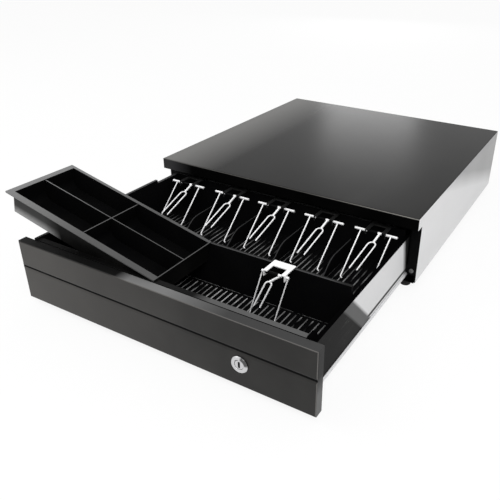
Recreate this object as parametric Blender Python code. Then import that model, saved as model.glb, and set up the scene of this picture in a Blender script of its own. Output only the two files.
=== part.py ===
"""Cash drawer: a steel case, a telescopic drawer, a note tray with wire clips and a lift-out coin tray.

Metres, +Z up. Every piece is drawn with X across the case, Y from the case's front lip to its back
and Z from the lower edge of the case. The drawer stands open. At the end the whole part is set down
with the middle of its box at X = Y = 0 and the feet on Z = 0.
"""
import math

import bmesh
import bpy
from mathutils import Vector

# Case
case_width = 0.410
case_depth = 0.415
case_height = 0.100
case_sheet = 0.0012
lip_height = 0.016
side_set_back = 0.015
fold_radius = 0.0016
case_flange = 0.010
overrun = 0.004
round_share = 0.5
seat_gap = 0.0003
running_gap = 0.0003

# Front posts and the nylon blocks that guide the drawer's sides
post_gap = 0.0025
post_depth = 0.025
post_top_gap = 0.0008
guide_nose = 0.0006
guide_nose_slope = 0.0016
guide_height = 0.011
guide_base_z = 0.0112
guide_depth = 0.009
guide_screw_share = 0.7

# Feet and screws
foot_radius = 0.008
foot_taper = 0.0008
foot_height = 0.010
foot_inset_x = 0.016
foot_inset_y = 0.009
foot_recess_radius = 0.0045
foot_recess_depth = 0.0026
foot_bulb_radius = 0.0026
foot_bulb_top = 0.0039
screw_radius = 0.0015
screw_hole_radius = 0.0019
screw_head_radius = 0.0032
screw_head_height = 0.0016
screw_grip = 0.0016
rear_screw_inset = 0.030
rear_screw_z = 0.0056

# Drawer, pulled out on two runner stages
drawer_travel = 0.2666
stage_travel = drawer_travel / 2
front_top_gap = 0.0054
front_drop = 0.002
front_sheet = 0.0012
front_return = 0.012
crease_z = 0.044
crease_width = 0.0032
crease_depth = 0.0008
side_clearance = 0.0143
tub_sheet = 0.0012
rear_works_depth = 0.0484
tub_floor_z = 0.0108
tub_rim_drop = 0.0145
panel_stud_x = 0.145
panel_stud_drop = 0.014
panel_stud_radius = 0.0032
rivet_radius = 0.003
rivet_height = 0.0014

# Runners, as folded profiles on the right-hand side
runner_inset = 0.0075
runner_width = 0.014
runner_low_z = 0.0015
runner_height = 0.0085
outer_sheet = 0.0012
mid_sheet = 0.0010
strip_sheet = 0.0008
strip_top_z = 0.0098
runner_end_gap = 0.0018
outer_runner_start_y = 0.030
outer_runner_rear_gap = 0.025

# Lock
lock_x = 0.117
lock_z = 0.027
bezel_radius = 0.0102
bezel_height = 0.0021
barrel_radius = 0.0080
plug_radius = 0.0052
plug_recess = 0.0005
key_slot_width = 0.0018
key_slot_height = 0.0070
key_slot_depth = 0.0090
nut_radius = 0.0118
nut_height = 0.0030
cam_length = 0.024
cam_half_width = 0.0045
cam_sheet = 0.0015
cam_round_share = 0.8
cam_square = 0.0032
cam_clearance = 0.0003
keeper_height = 0.0052
keeper_half_width = 0.028

# Note tray
tray_wall = 0.002
tray_front_gap = 0.0039
tray_back_y = 0.012
tray_floor_top = 0.020
tray_floor_sheet = 0.002
tray_rim_gap = 0.0035
tray_step = 0.005
tray_step_y = -0.037
tray_wall_drop = 0.0015
rim_overhang = 0.0023
partition_y = -0.150
partition_thickness = 0.004
front_rim_y = -0.254
slot_count = 5
divider_thickness = 0.0016
divider_low = 0.0045
divider_high = 0.0235
divider_rise_y = -0.075
divider_level_y = -0.050
rib_pitch = 0.0075
rib_width = 0.0016
rib_height = 0.0010
rib_end_gap = 0.004

# Wire clips
clip_rod_radius = 0.0017
clip_wire_radius = 0.0013
clip_stem_radius = 0.0019
clip_hinge_y = -0.012
clip_hinge_drop = 0.0033
clip_rod_half = 0.0290
clip_leg_x = 0.0205
clip_leg_reach = 0.0445
clip_leg_lean = 0.0060
clip_shift_share = 0.68
first_clip_shift_share = 0.06
clip_foot_turn = 0.0045
clip_fork_half = 0.0050
clip_fork_x = 0.0055
clip_fork_lean = 0.0072
clip_shoulder_share = 0.25
clip_fork_reach = 0.0500
clip_fork_drop = 0.0310
clip_bend_radius = 0.0030
clip_hole_gap = 0.0003
bracket_half_width = 0.0140
bracket_arm_width = 0.0050
bracket_bar_depth = 0.0115
bracket_sheet = 0.0012
bracket_ear_height = 0.0078
bracket_ear_half = 0.0030
front_clip_x = 0.100
front_clip_hinge_y = -0.170
front_clip_rod_half = 0.0185
front_clip_leg_x = 0.0166
front_clip_leg_reach = 0.0150
front_clip_leg_lean = 0.0095
front_clip_fork_start_x = 0.0070
front_clip_fork_half = 0.0040
front_clip_shoulder = (-0.0050, -0.0040, -0.0095)
front_clip_fork_x = 0.0140
front_clip_fork_reach = 0.0170
front_clip_fork_drop = 0.0380

# Coin tray, lying askew over the drawer's left side
coin_length = 0.2324
coin_width = 0.103
coin_tilt = math.radians(13.06)
coin_end_x = -0.0015
coin_rim = 0.0015
coin_rim_left = 0.010
coin_rim_front = 0.010
coin_rim_back = 0.004
coin_depth = 0.029
coin_wall = 0.0015
coin_cup_radius = 0.011
coin_divider_drop = 0.0012

# Latch, solenoid and push-out plunger behind the drawer
latch_gap_y = 0.0030
barb_length = 0.0048
barb_drop = 0.0065
lever_height = 0.006
lever_low_z = 0.029
lever_half = 0.0015
lever_boss_share = 0.72
hook_pivot_inset = 0.018
hook_pin_radius = 0.0020
cheek_inner = 0.0040
cheek_sheet = 0.0012
cheek_inset = 0.007
cheek_depth = 0.0275
cheek_top = 0.044
striker_half = 0.0050
striker_depth = 0.0125
striker_low_z = 0.020
striker_top_z = 0.032
striker_pin_radius = 0.0015
striker_pin_z = 0.026
striker_plate_half = 0.012
striker_plate_margin = 0.005
solenoid_inset = 0.030
solenoid_half = 0.0110
solenoid_height = 0.0300
solenoid_sheet = 0.0015
coil_radius = 0.0098
plunger_radius = 0.0034
plunger_low_z = 0.0295
plunger_length = 0.0325
clevis_half = 0.0018
clevis_pin_radius = 0.0012
clevis_slot_length = 0.0016
ejector_x = 0.060
ejector_z = 0.034
ejector_inset = 0.004
ejector_cup_length = 0.040
ejector_radius = 0.009
ejector_wall = 0.0024
ejector_travel = 0.0299
ejector_length = 0.041
ejector_bore_radius = 0.0048
ejector_nose = 0.004
spring_turns = 12
spring_radius = 0.0038
spring_wire_radius = 0.0006
spring_steps = 9
saddle_half_width = 0.012
saddle_web_half = 0.003
saddle_sheet = 0.002

# Socket for the trigger lead, and the lead inside
jack_x = -0.120
jack_z = 0.034
jack_width = 0.0140
jack_height = 0.0130
jack_depth = 0.0130
jack_mouth_width = 0.0098
jack_mouth_height = 0.0074
jack_mouth_depth = 0.0090
jack_flange = 0.0010
lead_radius = 0.0012
lead_run_inset = 0.019
lead_bend = 0.012

# Worked out from the sizes above
half_width = case_width / 2
inner_half = half_width - case_sheet
base_half = inner_half - seat_gap
tub_half_width = inner_half - side_clearance
post_width = base_half - tub_half_width - post_gap
runner_open_x = tub_half_width - runner_inset
runner_web_x = runner_open_x - runner_width
lip_low_z = case_height - lip_height
front_top_z = lip_low_z - front_top_gap
tray_rim_top = lip_low_z - tray_rim_gap
tray_wall_top = tray_rim_top - tray_wall_drop
tub_side_top = tray_rim_top - tub_rim_drop
panel_stud_z = tub_side_top - panel_stud_drop
coin_end_z = tray_rim_top + seat_gap
closed_back_y = case_depth - rear_works_depth
tub_back_y = closed_back_y - drawer_travel
outer_runner_length = case_depth - outer_runner_start_y - outer_runner_rear_gap
hook_pivot_y = case_depth - hook_pivot_inset
cheek_back_y = case_depth - cheek_inset
cheek_front_y = cheek_back_y - cheek_depth
solenoid_y = case_depth - solenoid_inset
ejector_back_y = case_depth - ejector_inset
ejector_front_y = ejector_back_y - ejector_cup_length
lead_run_y = case_depth - lead_run_inset
front_y = -drawer_travel
panel_back_y = front_y + front_return
tub_front_y = panel_back_y + seat_gap
tub_inner = tub_half_width - tub_sheet
tray_half = tub_inner - 2 * seat_gap
tray_inner = tray_half - tray_wall
tray_front_y = tub_front_y + tub_sheet + tray_front_gap
front_cell_y = tray_front_y + tray_wall
partition_front_y = partition_y - partition_thickness / 2
partition_back_y = partition_y + partition_thickness / 2
rear_wall_y = tray_back_y - tray_wall
tray_low_z = tub_floor_z + tub_sheet + seat_gap
slot_pitch = 2 * tray_inner / slot_count
tray_back_top = tray_rim_top - tray_step
clip_hinge_z = tray_back_top + seat_gap + bracket_sheet - clip_hinge_drop
front_clip_hinge_z = tray_wall_top + seat_gap + bracket_sheet - clip_hinge_drop
clip_floor_z = tray_floor_top + rib_height + clip_wire_radius + seat_gap
rib_top = tray_floor_top + rib_height

cam_front_y = tub_front_y + tub_sheet + seat_gap + running_gap
base_front_y = cam_front_y + drawer_travel - seat_gap - case_sheet
rear_flange_y = case_depth - 2 * case_sheet - seat_gap
jack_y = case_depth - jack_depth
barb_front_y = closed_back_y + latch_gap_y
barb_back_y = barb_front_y + barb_length
striker_pin_y = barb_back_y - drawer_travel + seat_gap + striker_pin_radius
hook_pivot_z = lever_low_z + lever_height / 2
clevis_pin_z = hook_pivot_z + clevis_pin_radius
frame_low_z = cheek_top + seat_gap
ejector_bore = ejector_radius - ejector_wall
plunger_front_y = closed_back_y + seat_gap - ejector_travel
floor_seat_z = case_sheet + seat_gap
mid_low_z = runner_low_z + outer_sheet + running_gap
mid_top_z = runner_low_z + runner_height - outer_sheet - running_gap
bar_low_z = mid_low_z + mid_sheet + running_gap
bar_top_z = mid_top_z - mid_sheet - running_gap
mid_web_x = runner_web_x + outer_sheet + running_gap
bar_web_x = mid_web_x + mid_sheet + running_gap
tub_skirt_z = bar_low_z + mid_sheet + seat_gap
foot_x = half_width - foot_inset_x
foot_rows_y = (side_set_back + foot_inset_y, case_depth - side_set_back - foot_inset_y)
rear_screw_x = half_width - rear_screw_inset
top_screw_z = case_height - case_sheet - case_flange / 2
guide_screw_x = inner_half - post_width / 2
guide_screw_z = guide_base_z + guide_height / 2

empties = {}
pivots = {}


def material(name, colour, roughness, metallic=0.0):
    """Make a plain finish."""
    finish = bpy.data.materials.new(name)
    finish.use_nodes = True
    shader = finish.node_tree.nodes["Principled BSDF"]
    shader.inputs["Base Color"].default_value = (*colour, 1.0)
    shader.inputs["Roughness"].default_value = roughness
    shader.inputs["Metallic"].default_value = metallic
    return finish


def black_paint(name):
    """Semi-gloss black enamel on sheet steel."""
    return material(name, (0.030, 0.030, 0.032), 0.42)


def black_plastic(name):
    """Moulded black plastic."""
    return material(name, (0.012, 0.012, 0.013), 0.45)


def zinc(name):
    """Bright zinc-plated steel."""
    return material(name, (0.62, 0.63, 0.64), 0.35, 1.0)


def bright_wire(name):
    """Nickel-plated wire and clips."""
    return material(name, (0.80, 0.80, 0.80), 0.22, 1.0)


def drawer_grey(name):
    """Pale coated steel of the drawer's body."""
    return material(name, (0.60, 0.61, 0.62), 0.38, 0.6)


def rubber(name):
    """Black rubber."""
    return material(name, (0.015, 0.015, 0.015), 0.85)


def nylon(name):
    """White nylon."""
    return material(name, (0.80, 0.80, 0.78), 0.5)


def fillet(points, radius, steps):
    """Round every inner corner of an open run of points, in two or three dimensions."""
    points = [Vector(point) for point in points]
    route = [points[0]]
    for before, corner, after in zip(points, points[1:], points[2:]):
        to_before, to_after = before - corner, after - corner
        reach = min(radius, to_before.length / 2, to_after.length / 2)
        start = corner + to_before.normalized() * reach
        end = corner + to_after.normalized() * reach
        for step in range(steps + 1):
            share = step / steps
            route.append(start * (1 - share) ** 2 + corner * 2 * share * (1 - share) + end * share ** 2)
    route.append(points[-1])
    return route


def closed_fillet(points, radius, steps):
    """Round every corner of a closed outline."""
    count = len(points)
    middle = (Vector(points[0]) + Vector(points[count - 1])) / 2
    return fillet([middle, *points, middle], radius, steps)[1:-1]


def prism(outline, axis, start, end):
    """Extrude an outline along an axis. Its points are in the two other axes, in X, Y, Z order."""
    solid = bmesh.new()
    place = {"x": lambda u, v: (start, u, v), "y": lambda u, v: (u, start, v),
             "z": lambda u, v: (u, v, start)}[axis]
    face = solid.faces.new([solid.verts.new(place(point[0], point[1])) for point in outline])
    length = end - start
    step = {"x": (length, 0, 0), "y": (0, length, 0), "z": (0, 0, length)}[axis]
    moved = bmesh.ops.extrude_face_region(solid, geom=[face])
    bmesh.ops.translate(solid, vec=step, verts=[part for part in moved["geom"]
                                                if isinstance(part, bmesh.types.BMVert)])
    bmesh.ops.recalc_face_normals(solid, faces=solid.faces)
    return solid


def block(x_range, y_range, z_range):
    """Make a box from its limits."""
    (low_y, high_y), (low_z, high_z) = y_range, z_range
    outline = [(low_y, low_z), (high_y, low_z), (high_y, high_z), (low_y, high_z)]
    return prism(outline, "x", x_range[0], x_range[1])


def turned(profile, centre, axis, steps=24):
    """Turn a closed profile of (radius, distance along the axis) about an axis through a point."""
    solid = bmesh.new()
    along = {"x": Vector((1, 0, 0)), "y": Vector((0, 1, 0)), "z": Vector((0, 0, 1))}[axis]
    out = {"x": Vector((0, 1, 0)), "y": Vector((1, 0, 0)), "z": Vector((1, 0, 0))}[axis]
    centre = Vector(centre)
    ring = [solid.verts.new(centre + out * radius + along * distance) for radius, distance in profile]
    edges = [solid.edges.new((first, second)) for first, second in zip(ring, ring[1:] + ring[:1])]
    bmesh.ops.spin(solid, geom=ring + edges, cent=centre, axis=along, angle=math.tau, steps=steps,
                   use_merge=True)
    tidy(solid)
    return solid


def disc(radius, centre, axis, start, end, steps=24):
    """Make a plain round bar along an axis."""
    return turned([(0, start), (radius, start), (radius, end), (0, end)], centre, axis, steps)


def tidy(solid):
    """Close the seams of a solid and point its faces outwards."""
    weld = 1e-6
    bmesh.ops.remove_doubles(solid, verts=solid.verts, dist=weld)
    bmesh.ops.dissolve_degenerate(solid, edges=solid.edges, dist=weld)
    bmesh.ops.recalc_face_normals(solid, faces=solid.faces)


def wire(points, radius, sides_level=2):
    """Sweep a round wire with closed ends along a run of points."""
    curve = bpy.data.curves.new("wire_route", "CURVE")
    curve.dimensions = "3D"
    curve.bevel_depth = radius
    curve.bevel_resolution = sides_level
    curve.use_fill_caps = True
    spline = curve.splines.new("POLY")
    spline.points.add(len(points) - 1)
    for knot, point in zip(spline.points, points):
        knot.co = (*point, 1.0)
    route = bpy.data.objects.new("wire_route", curve)
    bpy.context.collection.objects.link(route)
    bpy.context.view_layer.update()
    mesh = bpy.data.meshes.new_from_object(route.evaluated_get(bpy.context.evaluated_depsgraph_get()))
    bpy.data.objects.remove(route)
    solid = bmesh.new()
    solid.from_mesh(mesh)
    tidy(solid)
    return solid


def ease(solid, pick, radius, segments=2):
    """Round the edges whose two ends both pass a test."""
    edges = [edge for edge in solid.edges if all(pick(vert.co) for vert in edge.verts)]
    bmesh.ops.bevel(solid, geom=edges, offset=radius, segments=segments, profile=round_share,
                    affect="EDGES", clamp_overlap=True)
    return solid


def raw_object(name, solid):
    """Put a solid into the scene under a name."""
    mesh = bpy.data.meshes.new(name)
    solid.to_mesh(mesh)
    solid.free()
    thing = bpy.data.objects.new(name, mesh)
    bpy.context.collection.objects.link(thing)
    return thing


def combine(thing, tools, operation):
    """Join solids to an object or cut them from it, one after another."""
    for tool in tools:
        other = raw_object("tool", tool)
        change = thing.modifiers.new(operation.title(), "BOOLEAN")
        change.operation = operation
        change.solver = "EXACT"
        change.object = other
        bpy.context.view_layer.update()
        mesh = bpy.data.meshes.new_from_object(
            thing.evaluated_get(bpy.context.evaluated_depsgraph_get()))
        thing.modifiers.clear()
        thing.data = mesh
        bpy.data.objects.remove(other)


def body(name, parent=None, pivot=(0, 0, 0)):
    """Add the empty that carries a body, on its joint's axis."""
    empty = bpy.data.objects.new(name + "_axis", None)
    empty.empty_display_size = case_height / 4
    bpy.context.collection.objects.link(empty)
    pivots[name] = Vector(pivot)
    empties[name] = empty
    if parent is None:
        empty.location = pivots[name]
    else:
        empty.parent = empties[parent]
        empty.location = pivots[name] - pivots[parent]


def joined(*solids):
    """Name solids that are joined to a piece."""
    return "UNION", solids


def cut(*solids):
    """Name solids that are cut from a piece."""
    return "DIFFERENCE", solids


def make(name, solid, finish, owner, *changes, turn_y=0.0):
    """Make a named piece, join and cut solids in turn, and hang it on its body's empty."""
    thing = raw_object(name, solid)
    for operation, tools in changes:
        combine(thing, tools, operation)
    thing.data.name = name
    thing.data.materials.clear()
    thing.data.materials.append(finish(name))
    thing.data.shade_smooth()
    thing.data.set_sharp_from_angle(angle=math.radians(30))
    thing.parent = empties[owner]
    if turn_y:
        thing.rotation_euler = (0, turn_y, 0)
    else:
        thing.location = -pivots[owner]


def screw(name, place, axis, toward, grip, owner):
    """Make a pan-head screw whose head stands at a place and whose shank goes the way of toward."""
    head = -toward * screw_head_height
    shank = toward * grip
    profile = [(0, head / 2), (screw_radius / 2, head / 2), (screw_radius / 2, head),
               (screw_head_radius / 2, head), (screw_head_radius, head / 2), (screw_head_radius, 0),
               (screw_radius, 0), (screw_radius, shank), (0, shank)]
    make(name, turned(profile, place, axis, 12), zinc, owner)


def span(middle, half):
    """Give the two limits round a middle."""
    return (middle - half, middle + half)


def side_name(side):
    """Name a side from its sign along X."""
    return "right" if side > 0 else "left"


def build_case_shell():
    """Fold the cover from one sheet, with its lip, and set the base and the rear panel in it."""
    outline = fillet([(-half_width, 0), (-half_width, case_height), (half_width, case_height),
                      (half_width, 0)], fold_radius, 3)
    cover = prism(outline, "y", 0, case_depth)
    ease(cover, lambda co: co.y < seat_gap and co.z > 0, fold_radius / 2)
    inside = span(0, inner_half)
    under = case_height - case_sheet
    top_holes = [disc(screw_hole_radius, (side * rear_screw_x, case_depth, top_screw_z), "y",
                      -overrun, overrun, 12) for side in (-1, 1)]
    make("case_cover", cover, black_paint, "case", cut(
        block(inside, (case_sheet, rear_flange_y), (-overrun, under)),
        block(inside, (rear_flange_y - overrun, case_depth), (-overrun, under - case_flange)),
        block(inside, (rear_flange_y + case_sheet, case_depth + overrun), (-overrun, under)),
        block(span(0, half_width + overrun), (-overrun, side_set_back),
              (-overrun, lip_low_z)), *top_holes))

    base = block(span(0, base_half), (base_front_y, rear_flange_y + case_sheet), (0, case_flange))
    above_sheet = (case_sheet, case_flange + overrun)
    make("base_plate", base, zinc, "case", cut(
        block(span(0, base_half - case_sheet), (base_front_y - overrun, rear_flange_y), above_sheet),
        block(span(0, half_width), (base_front_y - overrun, side_set_back + seat_gap), above_sheet),
        *[disc(screw_hole_radius, (side * foot_x, y, 0), "z", -overrun, overrun, 12)
          for side in (-1, 1) for y in foot_rows_y],
        *[disc(screw_hole_radius, (side * rear_screw_x, case_depth, rear_screw_z), "y",
               -overrun, overrun, 12) for side in (-1, 1)]),
        joined(block(span(lock_x, keeper_half_width), (base_front_y, base_front_y + case_sheet),
                     (0, keeper_height))))

    panel = block(span(0, base_half), (case_depth - case_sheet, case_depth),
                  (0, case_height - case_sheet - seat_gap))
    make("rear_panel", panel, black_paint, "case", cut(
        block(span(jack_x, jack_width / 2 + seat_gap), (rear_flange_y, case_depth + overrun),
              span(jack_z, jack_height / 2 + seat_gap)),
        *[disc(screw_hole_radius, (side * rear_screw_x, case_depth, z), "y", -overrun, overrun, 12)
          for side in (-1, 1) for z in (rear_screw_z, top_screw_z)]))
    for side in (-1, 1):
        for row, z in (("low", rear_screw_z), ("top", top_screw_z)):
            screw(f"rear_screw_{row}_{side_name(side)}", (side * rear_screw_x, case_depth + seat_gap, z),
                  "y", -1, 2 * case_sheet + screw_grip, "case")


def build_feet():
    """Turn the four rubber feet, each with a stem and a bulb pushed through the base."""
    low = -foot_height
    stem = screw_hole_radius - seat_gap
    bulb_low = case_sheet + seat_gap
    profile = [(0, low + foot_recess_depth), (foot_recess_radius, low + foot_recess_depth),
               (foot_recess_radius, low), (foot_radius - 2 * foot_taper, low),
               (foot_radius - foot_taper, low + foot_taper), (foot_radius, -seat_gap),
               (stem, -seat_gap), (stem, bulb_low), (foot_bulb_radius, bulb_low),
               (foot_bulb_radius / 2, foot_bulb_top), (0, foot_bulb_top)]
    for row, y in zip(("front", "rear"), foot_rows_y):
        for side in (-1, 1):
            make(f"foot_{row}_{side_name(side)}", turned(profile, (side * foot_x, y, 0), "z", 20),
                 rubber, "case")


def build_front_posts():
    """Fold the posts beside the opening and mould the nylon blocks that guide the drawer."""
    front = side_set_back + seat_gap
    for side in (-1, 1):
        outer, inner = side * base_half, side * (base_half - post_width)
        leg = side * (base_half - case_sheet)
        outline = [(inner, front), (outer, front), (outer, front + post_depth), (leg, front + post_depth),
                   (leg, front + case_sheet), (inner, front + case_sheet)]
        hole = (side * guide_screw_x, front, guide_screw_z)
        post = prism(outline, "z", case_flange + seat_gap, case_height - case_sheet - post_top_gap)
        make(f"front_post_{side_name(side)}", post, black_paint, "case",
             cut(disc(screw_hole_radius, hole, "y", -overrun, overrun, 12)))
        nose = side * (tub_half_width + guide_nose)
        shoulder = side * (tub_half_width + guide_nose + guide_nose_slope)
        back = side * (base_half - case_sheet - seat_gap)
        low_y = front + case_sheet + seat_gap
        high_y = low_y + guide_depth
        outline = [(nose, low_y + guide_nose_slope), (shoulder, low_y), (back, low_y), (back, high_y),
                   (shoulder, high_y), (nose, high_y - guide_nose_slope)]
        guide = prism(outline, "z", guide_base_z, guide_base_z + guide_height)
        screw_depth = guide_depth * guide_screw_share
        make(f"guide_block_{side_name(side)}", guide, nylon, "case",
             cut(disc(screw_hole_radius, hole, "y", -overrun, screw_depth + 2 * seat_gap, 12)))
        screw(f"guide_screw_{side_name(side)}", (side * guide_screw_x, front - seat_gap, guide_screw_z),
              "y", 1, screw_depth, "case")


def build_runners():
    """Fold the three members of each telescopic runner."""
    top = runner_low_z + runner_height
    stage_reach = tub_back_y - tub_front_y
    for side in (-1, 1):
        name = side_name(side)
        outer = [(runner_web_x, runner_low_z), (runner_open_x, runner_low_z),
                 (runner_open_x, runner_low_z + outer_sheet),
                 (runner_web_x + outer_sheet, runner_low_z + outer_sheet),
                 (runner_web_x + outer_sheet, top - outer_sheet), (runner_open_x, top - outer_sheet),
                 (runner_open_x, top), (runner_web_x, top)]
        mid = [(mid_web_x, mid_low_z), (runner_open_x, mid_low_z),
               (runner_open_x, mid_low_z + mid_sheet), (mid_web_x + mid_sheet, mid_low_z + mid_sheet),
               (mid_web_x + mid_sheet, mid_top_z - mid_sheet), (runner_open_x, mid_top_z - mid_sheet),
               (runner_open_x, mid_top_z), (mid_web_x, mid_top_z)]
        strip_in = tub_half_width + seat_gap
        strip_out = strip_in + strip_sheet
        web_top = bar_low_z + mid_sheet
        shoulder = runner_open_x + strip_sheet
        inner = [(bar_web_x, bar_low_z), (strip_out, bar_low_z), (strip_out, strip_top_z),
                 (strip_in, strip_top_z), (strip_in, web_top), (shoulder, web_top),
                 (shoulder, bar_top_z), (bar_web_x, bar_top_z)]
        mid_start = outer_runner_start_y - stage_travel
        for node, outline, start, length, finish, owner in (
                ("outer_runner", outer, outer_runner_start_y, outer_runner_length, zinc, "case"),
                ("mid_runner", mid, mid_start, outer_runner_length, zinc, "mid_runners"),
                ("inner_runner", inner, tub_front_y + runner_end_gap, stage_reach - 2 * runner_end_gap,
                 drawer_grey, "drawer")):
            outline = [(side * x, z) for x, z in outline]
            make(f"{node}_{name}", prism(outline, "y", start, start + length), finish, owner)


def build_drawer_body():
    """Fold the drawer's tub and its front, and rivet one to the other with studs welded in the front."""
    walls = (span(0, tub_inner), (tub_front_y + tub_sheet, tub_back_y - tub_sheet))
    barrel_hole = barrel_radius + seat_gap
    cam_y = (cam_front_y - running_gap, cam_front_y + cam_sheet + running_gap)
    stud_x = (-panel_stud_x, -panel_stud_x / 3, panel_stud_x / 3, panel_stud_x)
    tub = block(span(0, tub_half_width), (tub_front_y, tub_back_y), (tub_skirt_z, tub_side_top))
    make("drawer_tub", tub, drawer_grey, "drawer", cut(
        block(*walls, (tub_floor_z + tub_sheet, tub_side_top + overrun)),
        block(walls[0], (tub_front_y + tub_sheet, tub_back_y + overrun), (0, tub_floor_z)),
        disc(barrel_hole, (lock_x, tub_front_y, lock_z), "y", -overrun, overrun),
        block(span(lock_x, cam_half_width + 3 * running_gap), cam_y, (0, tub_floor_z + overrun)),
        *[disc(screw_hole_radius, (x, tub_front_y, panel_stud_z), "y", -overrun, overrun, 12)
          for x in stud_x]))

    panel = block(span(0, half_width), (front_y, panel_back_y), (-front_drop, front_top_z))
    ease(panel, lambda co: co.y < front_y + seat_gap, fold_radius, 3)
    crease = [(front_y - crease_depth, crease_z - crease_width), (front_y + crease_depth, crease_z),
              (front_y - crease_depth, crease_z + crease_width)]
    rivet_seat = tub_front_y + tub_sheet + seat_gap
    stud = [(0, front_y + front_sheet / 2), (panel_stud_radius, front_y + front_sheet / 2),
            (panel_stud_radius, panel_back_y), (screw_radius, panel_back_y), (screw_radius, rivet_seat),
            (rivet_radius, rivet_seat), (rivet_radius, rivet_seat + rivet_height / 2),
            (rivet_radius / 2, rivet_seat + rivet_height), (0, rivet_seat + rivet_height)]
    make("front_panel", panel, black_paint, "drawer", cut(
        block(span(0, inner_half), (front_y + front_sheet, panel_back_y + overrun),
              (front_sheet - front_drop, front_top_z - front_sheet)),
        prism(crease, "x", -half_width - overrun, half_width + overrun),
        disc(barrel_hole, (lock_x, front_y, lock_z), "y", -overrun, overrun)),
        joined(*[turned(stud, (x, 0, panel_stud_z), "y", 12) for x in stud_x]))


def build_lock():
    """Turn the lock's barrel and plug, and cut the nut and the cam."""
    face = front_y - bezel_height
    barrel_back = cam_front_y - running_gap
    bore = plug_radius + running_gap
    chamfer = bezel_height / 2
    axis_point = (lock_x, 0, lock_z)
    barrel = turned([(bore, face), (bezel_radius - chamfer, face), (bezel_radius, face + chamfer),
                     (bezel_radius, front_y - seat_gap), (barrel_radius, front_y - seat_gap),
                     (barrel_radius, barrel_back), (bore, barrel_back)], axis_point, "y", 32)
    make("lock_barrel", barrel, bright_wire, "drawer")
    hexagon = [(lock_x + nut_radius * math.cos(turn * math.tau / 6),
                lock_z + nut_radius * math.sin(turn * math.tau / 6)) for turn in range(6)]
    nut_y = front_y + front_sheet + seat_gap
    make("lock_nut", prism(hexagon, "y", nut_y, nut_y + nut_height), zinc, "drawer",
         cut(disc(barrel_radius + seat_gap, axis_point, "y", nut_y - overrun,
                  nut_y + nut_height + overrun)))

    cam_back = cam_front_y + cam_sheet
    plug_face = face + plug_recess
    make("lock_plug", disc(plug_radius, axis_point, "y", plug_face, cam_front_y - running_gap),
         bright_wire, "lock_plug",
         joined(block(span(lock_x, cam_square), (cam_front_y - overrun / 2, cam_back + seat_gap),
                      span(lock_z, cam_square))),
         cut(block(span(lock_x, key_slot_width / 2), (plug_face - overrun, plug_face + key_slot_depth),
                   span(lock_z, key_slot_height / 2))))
    outline = closed_fillet([(lock_x - cam_length, lock_z - cam_half_width),
                             (lock_x + plug_radius + plug_recess, lock_z - cam_half_width),
                             (lock_x + plug_radius + plug_recess, lock_z + cam_half_width),
                             (lock_x - cam_length, lock_z + cam_half_width)],
                            cam_half_width * cam_round_share, 4)
    make("lock_cam", prism(outline, "y", cam_front_y, cam_back), zinc, "lock_plug",
         cut(block(span(lock_x, cam_square + cam_clearance), (cam_front_y - overrun, cam_back + overrun),
                   span(lock_z, cam_square + cam_clearance))))


def rib_comb(start, end, gaps_at):
    """Make the floor's ribs between two places along Y, with none near the given places along X."""
    sunk = rib_height / 4
    root = tray_floor_top - tray_floor_sheet / 2
    valley = tray_floor_top - sunk
    edge = tray_inner - rib_end_gap
    outline = [(-edge, root), (-edge, valley)]
    count = int(2 * (edge - rib_width) / rib_pitch)
    for index in range(count + 1):
        x = (index - count / 2) * rib_pitch
        if any(abs(x - gap) < rib_pitch / 2 for gap in gaps_at):
            continue
        left, right = span(x, rib_width / 2)
        outline += [(left, valley), (left, rib_top), (right, rib_top), (right, valley)]
    outline += [(edge, valley), (edge, root)]
    return prism(outline, "y", start, end)


def build_note_tray():
    """Mould the note tray with its rim, ribbed floor and partition, and cut its loose dividers."""
    rim_x = tub_half_width + running_gap + strip_sheet / 2
    rim_low = tub_side_top + seat_gap
    divider_x = [(index - (slot_count - 2) / 2) * slot_pitch for index in range(slot_count - 1)]
    under_y = (tray_front_y + tray_wall, rear_wall_y)
    body_low = block(span(0, tray_half), (tray_front_y, tray_back_y), (tray_low_z, rim_low + overrun))
    rim = block(span(0, rim_x), (front_rim_y, tray_back_y + rim_overhang), (rim_low, tray_rim_top))
    ease(rim, lambda co: co.z > tray_rim_top - seat_gap, rim_overhang / 4, 1)
    make("note_tray", body_low, black_plastic, "drawer", joined(rim), cut(
        block(span(0, tray_inner), (front_cell_y, partition_front_y), (tray_floor_top, case_height)),
        block(span(0, tray_inner), (partition_back_y, rear_wall_y), (tray_floor_top, case_height)),
        block(span(0, tray_inner), under_y, (0, tray_floor_top - tray_floor_sheet)),
        block(span(0, tray_inner), (front_rim_y - overrun, partition_back_y + seat_gap),
              (tray_wall_top, case_height)),
        block(span(0, half_width), (tray_step_y, tray_back_y + 2 * overrun), (tray_back_top, case_height))),
        joined(rib_comb(front_cell_y + rib_end_gap, partition_front_y - rib_end_gap, []),
               rib_comb(partition_back_y + rib_end_gap, rear_wall_y - rib_end_gap, divider_x)))

    low = tray_floor_top + seat_gap
    start, end = partition_back_y + seat_gap, rear_wall_y - seat_gap
    top_run = fillet([(start, tray_floor_top + divider_low), (divider_rise_y, tray_floor_top + divider_low),
                      (divider_level_y, tray_floor_top + divider_high),
                      (end, tray_floor_top + divider_high)], divider_high / 2, 5)
    for index, x in enumerate(divider_x):
        outline = [*top_run, Vector((end, low)), Vector((start, low))]
        make(f"divider_{index + 1}", prism(outline, "x", *span(x, divider_thickness / 2)), black_plastic,
             "drawer")


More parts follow.
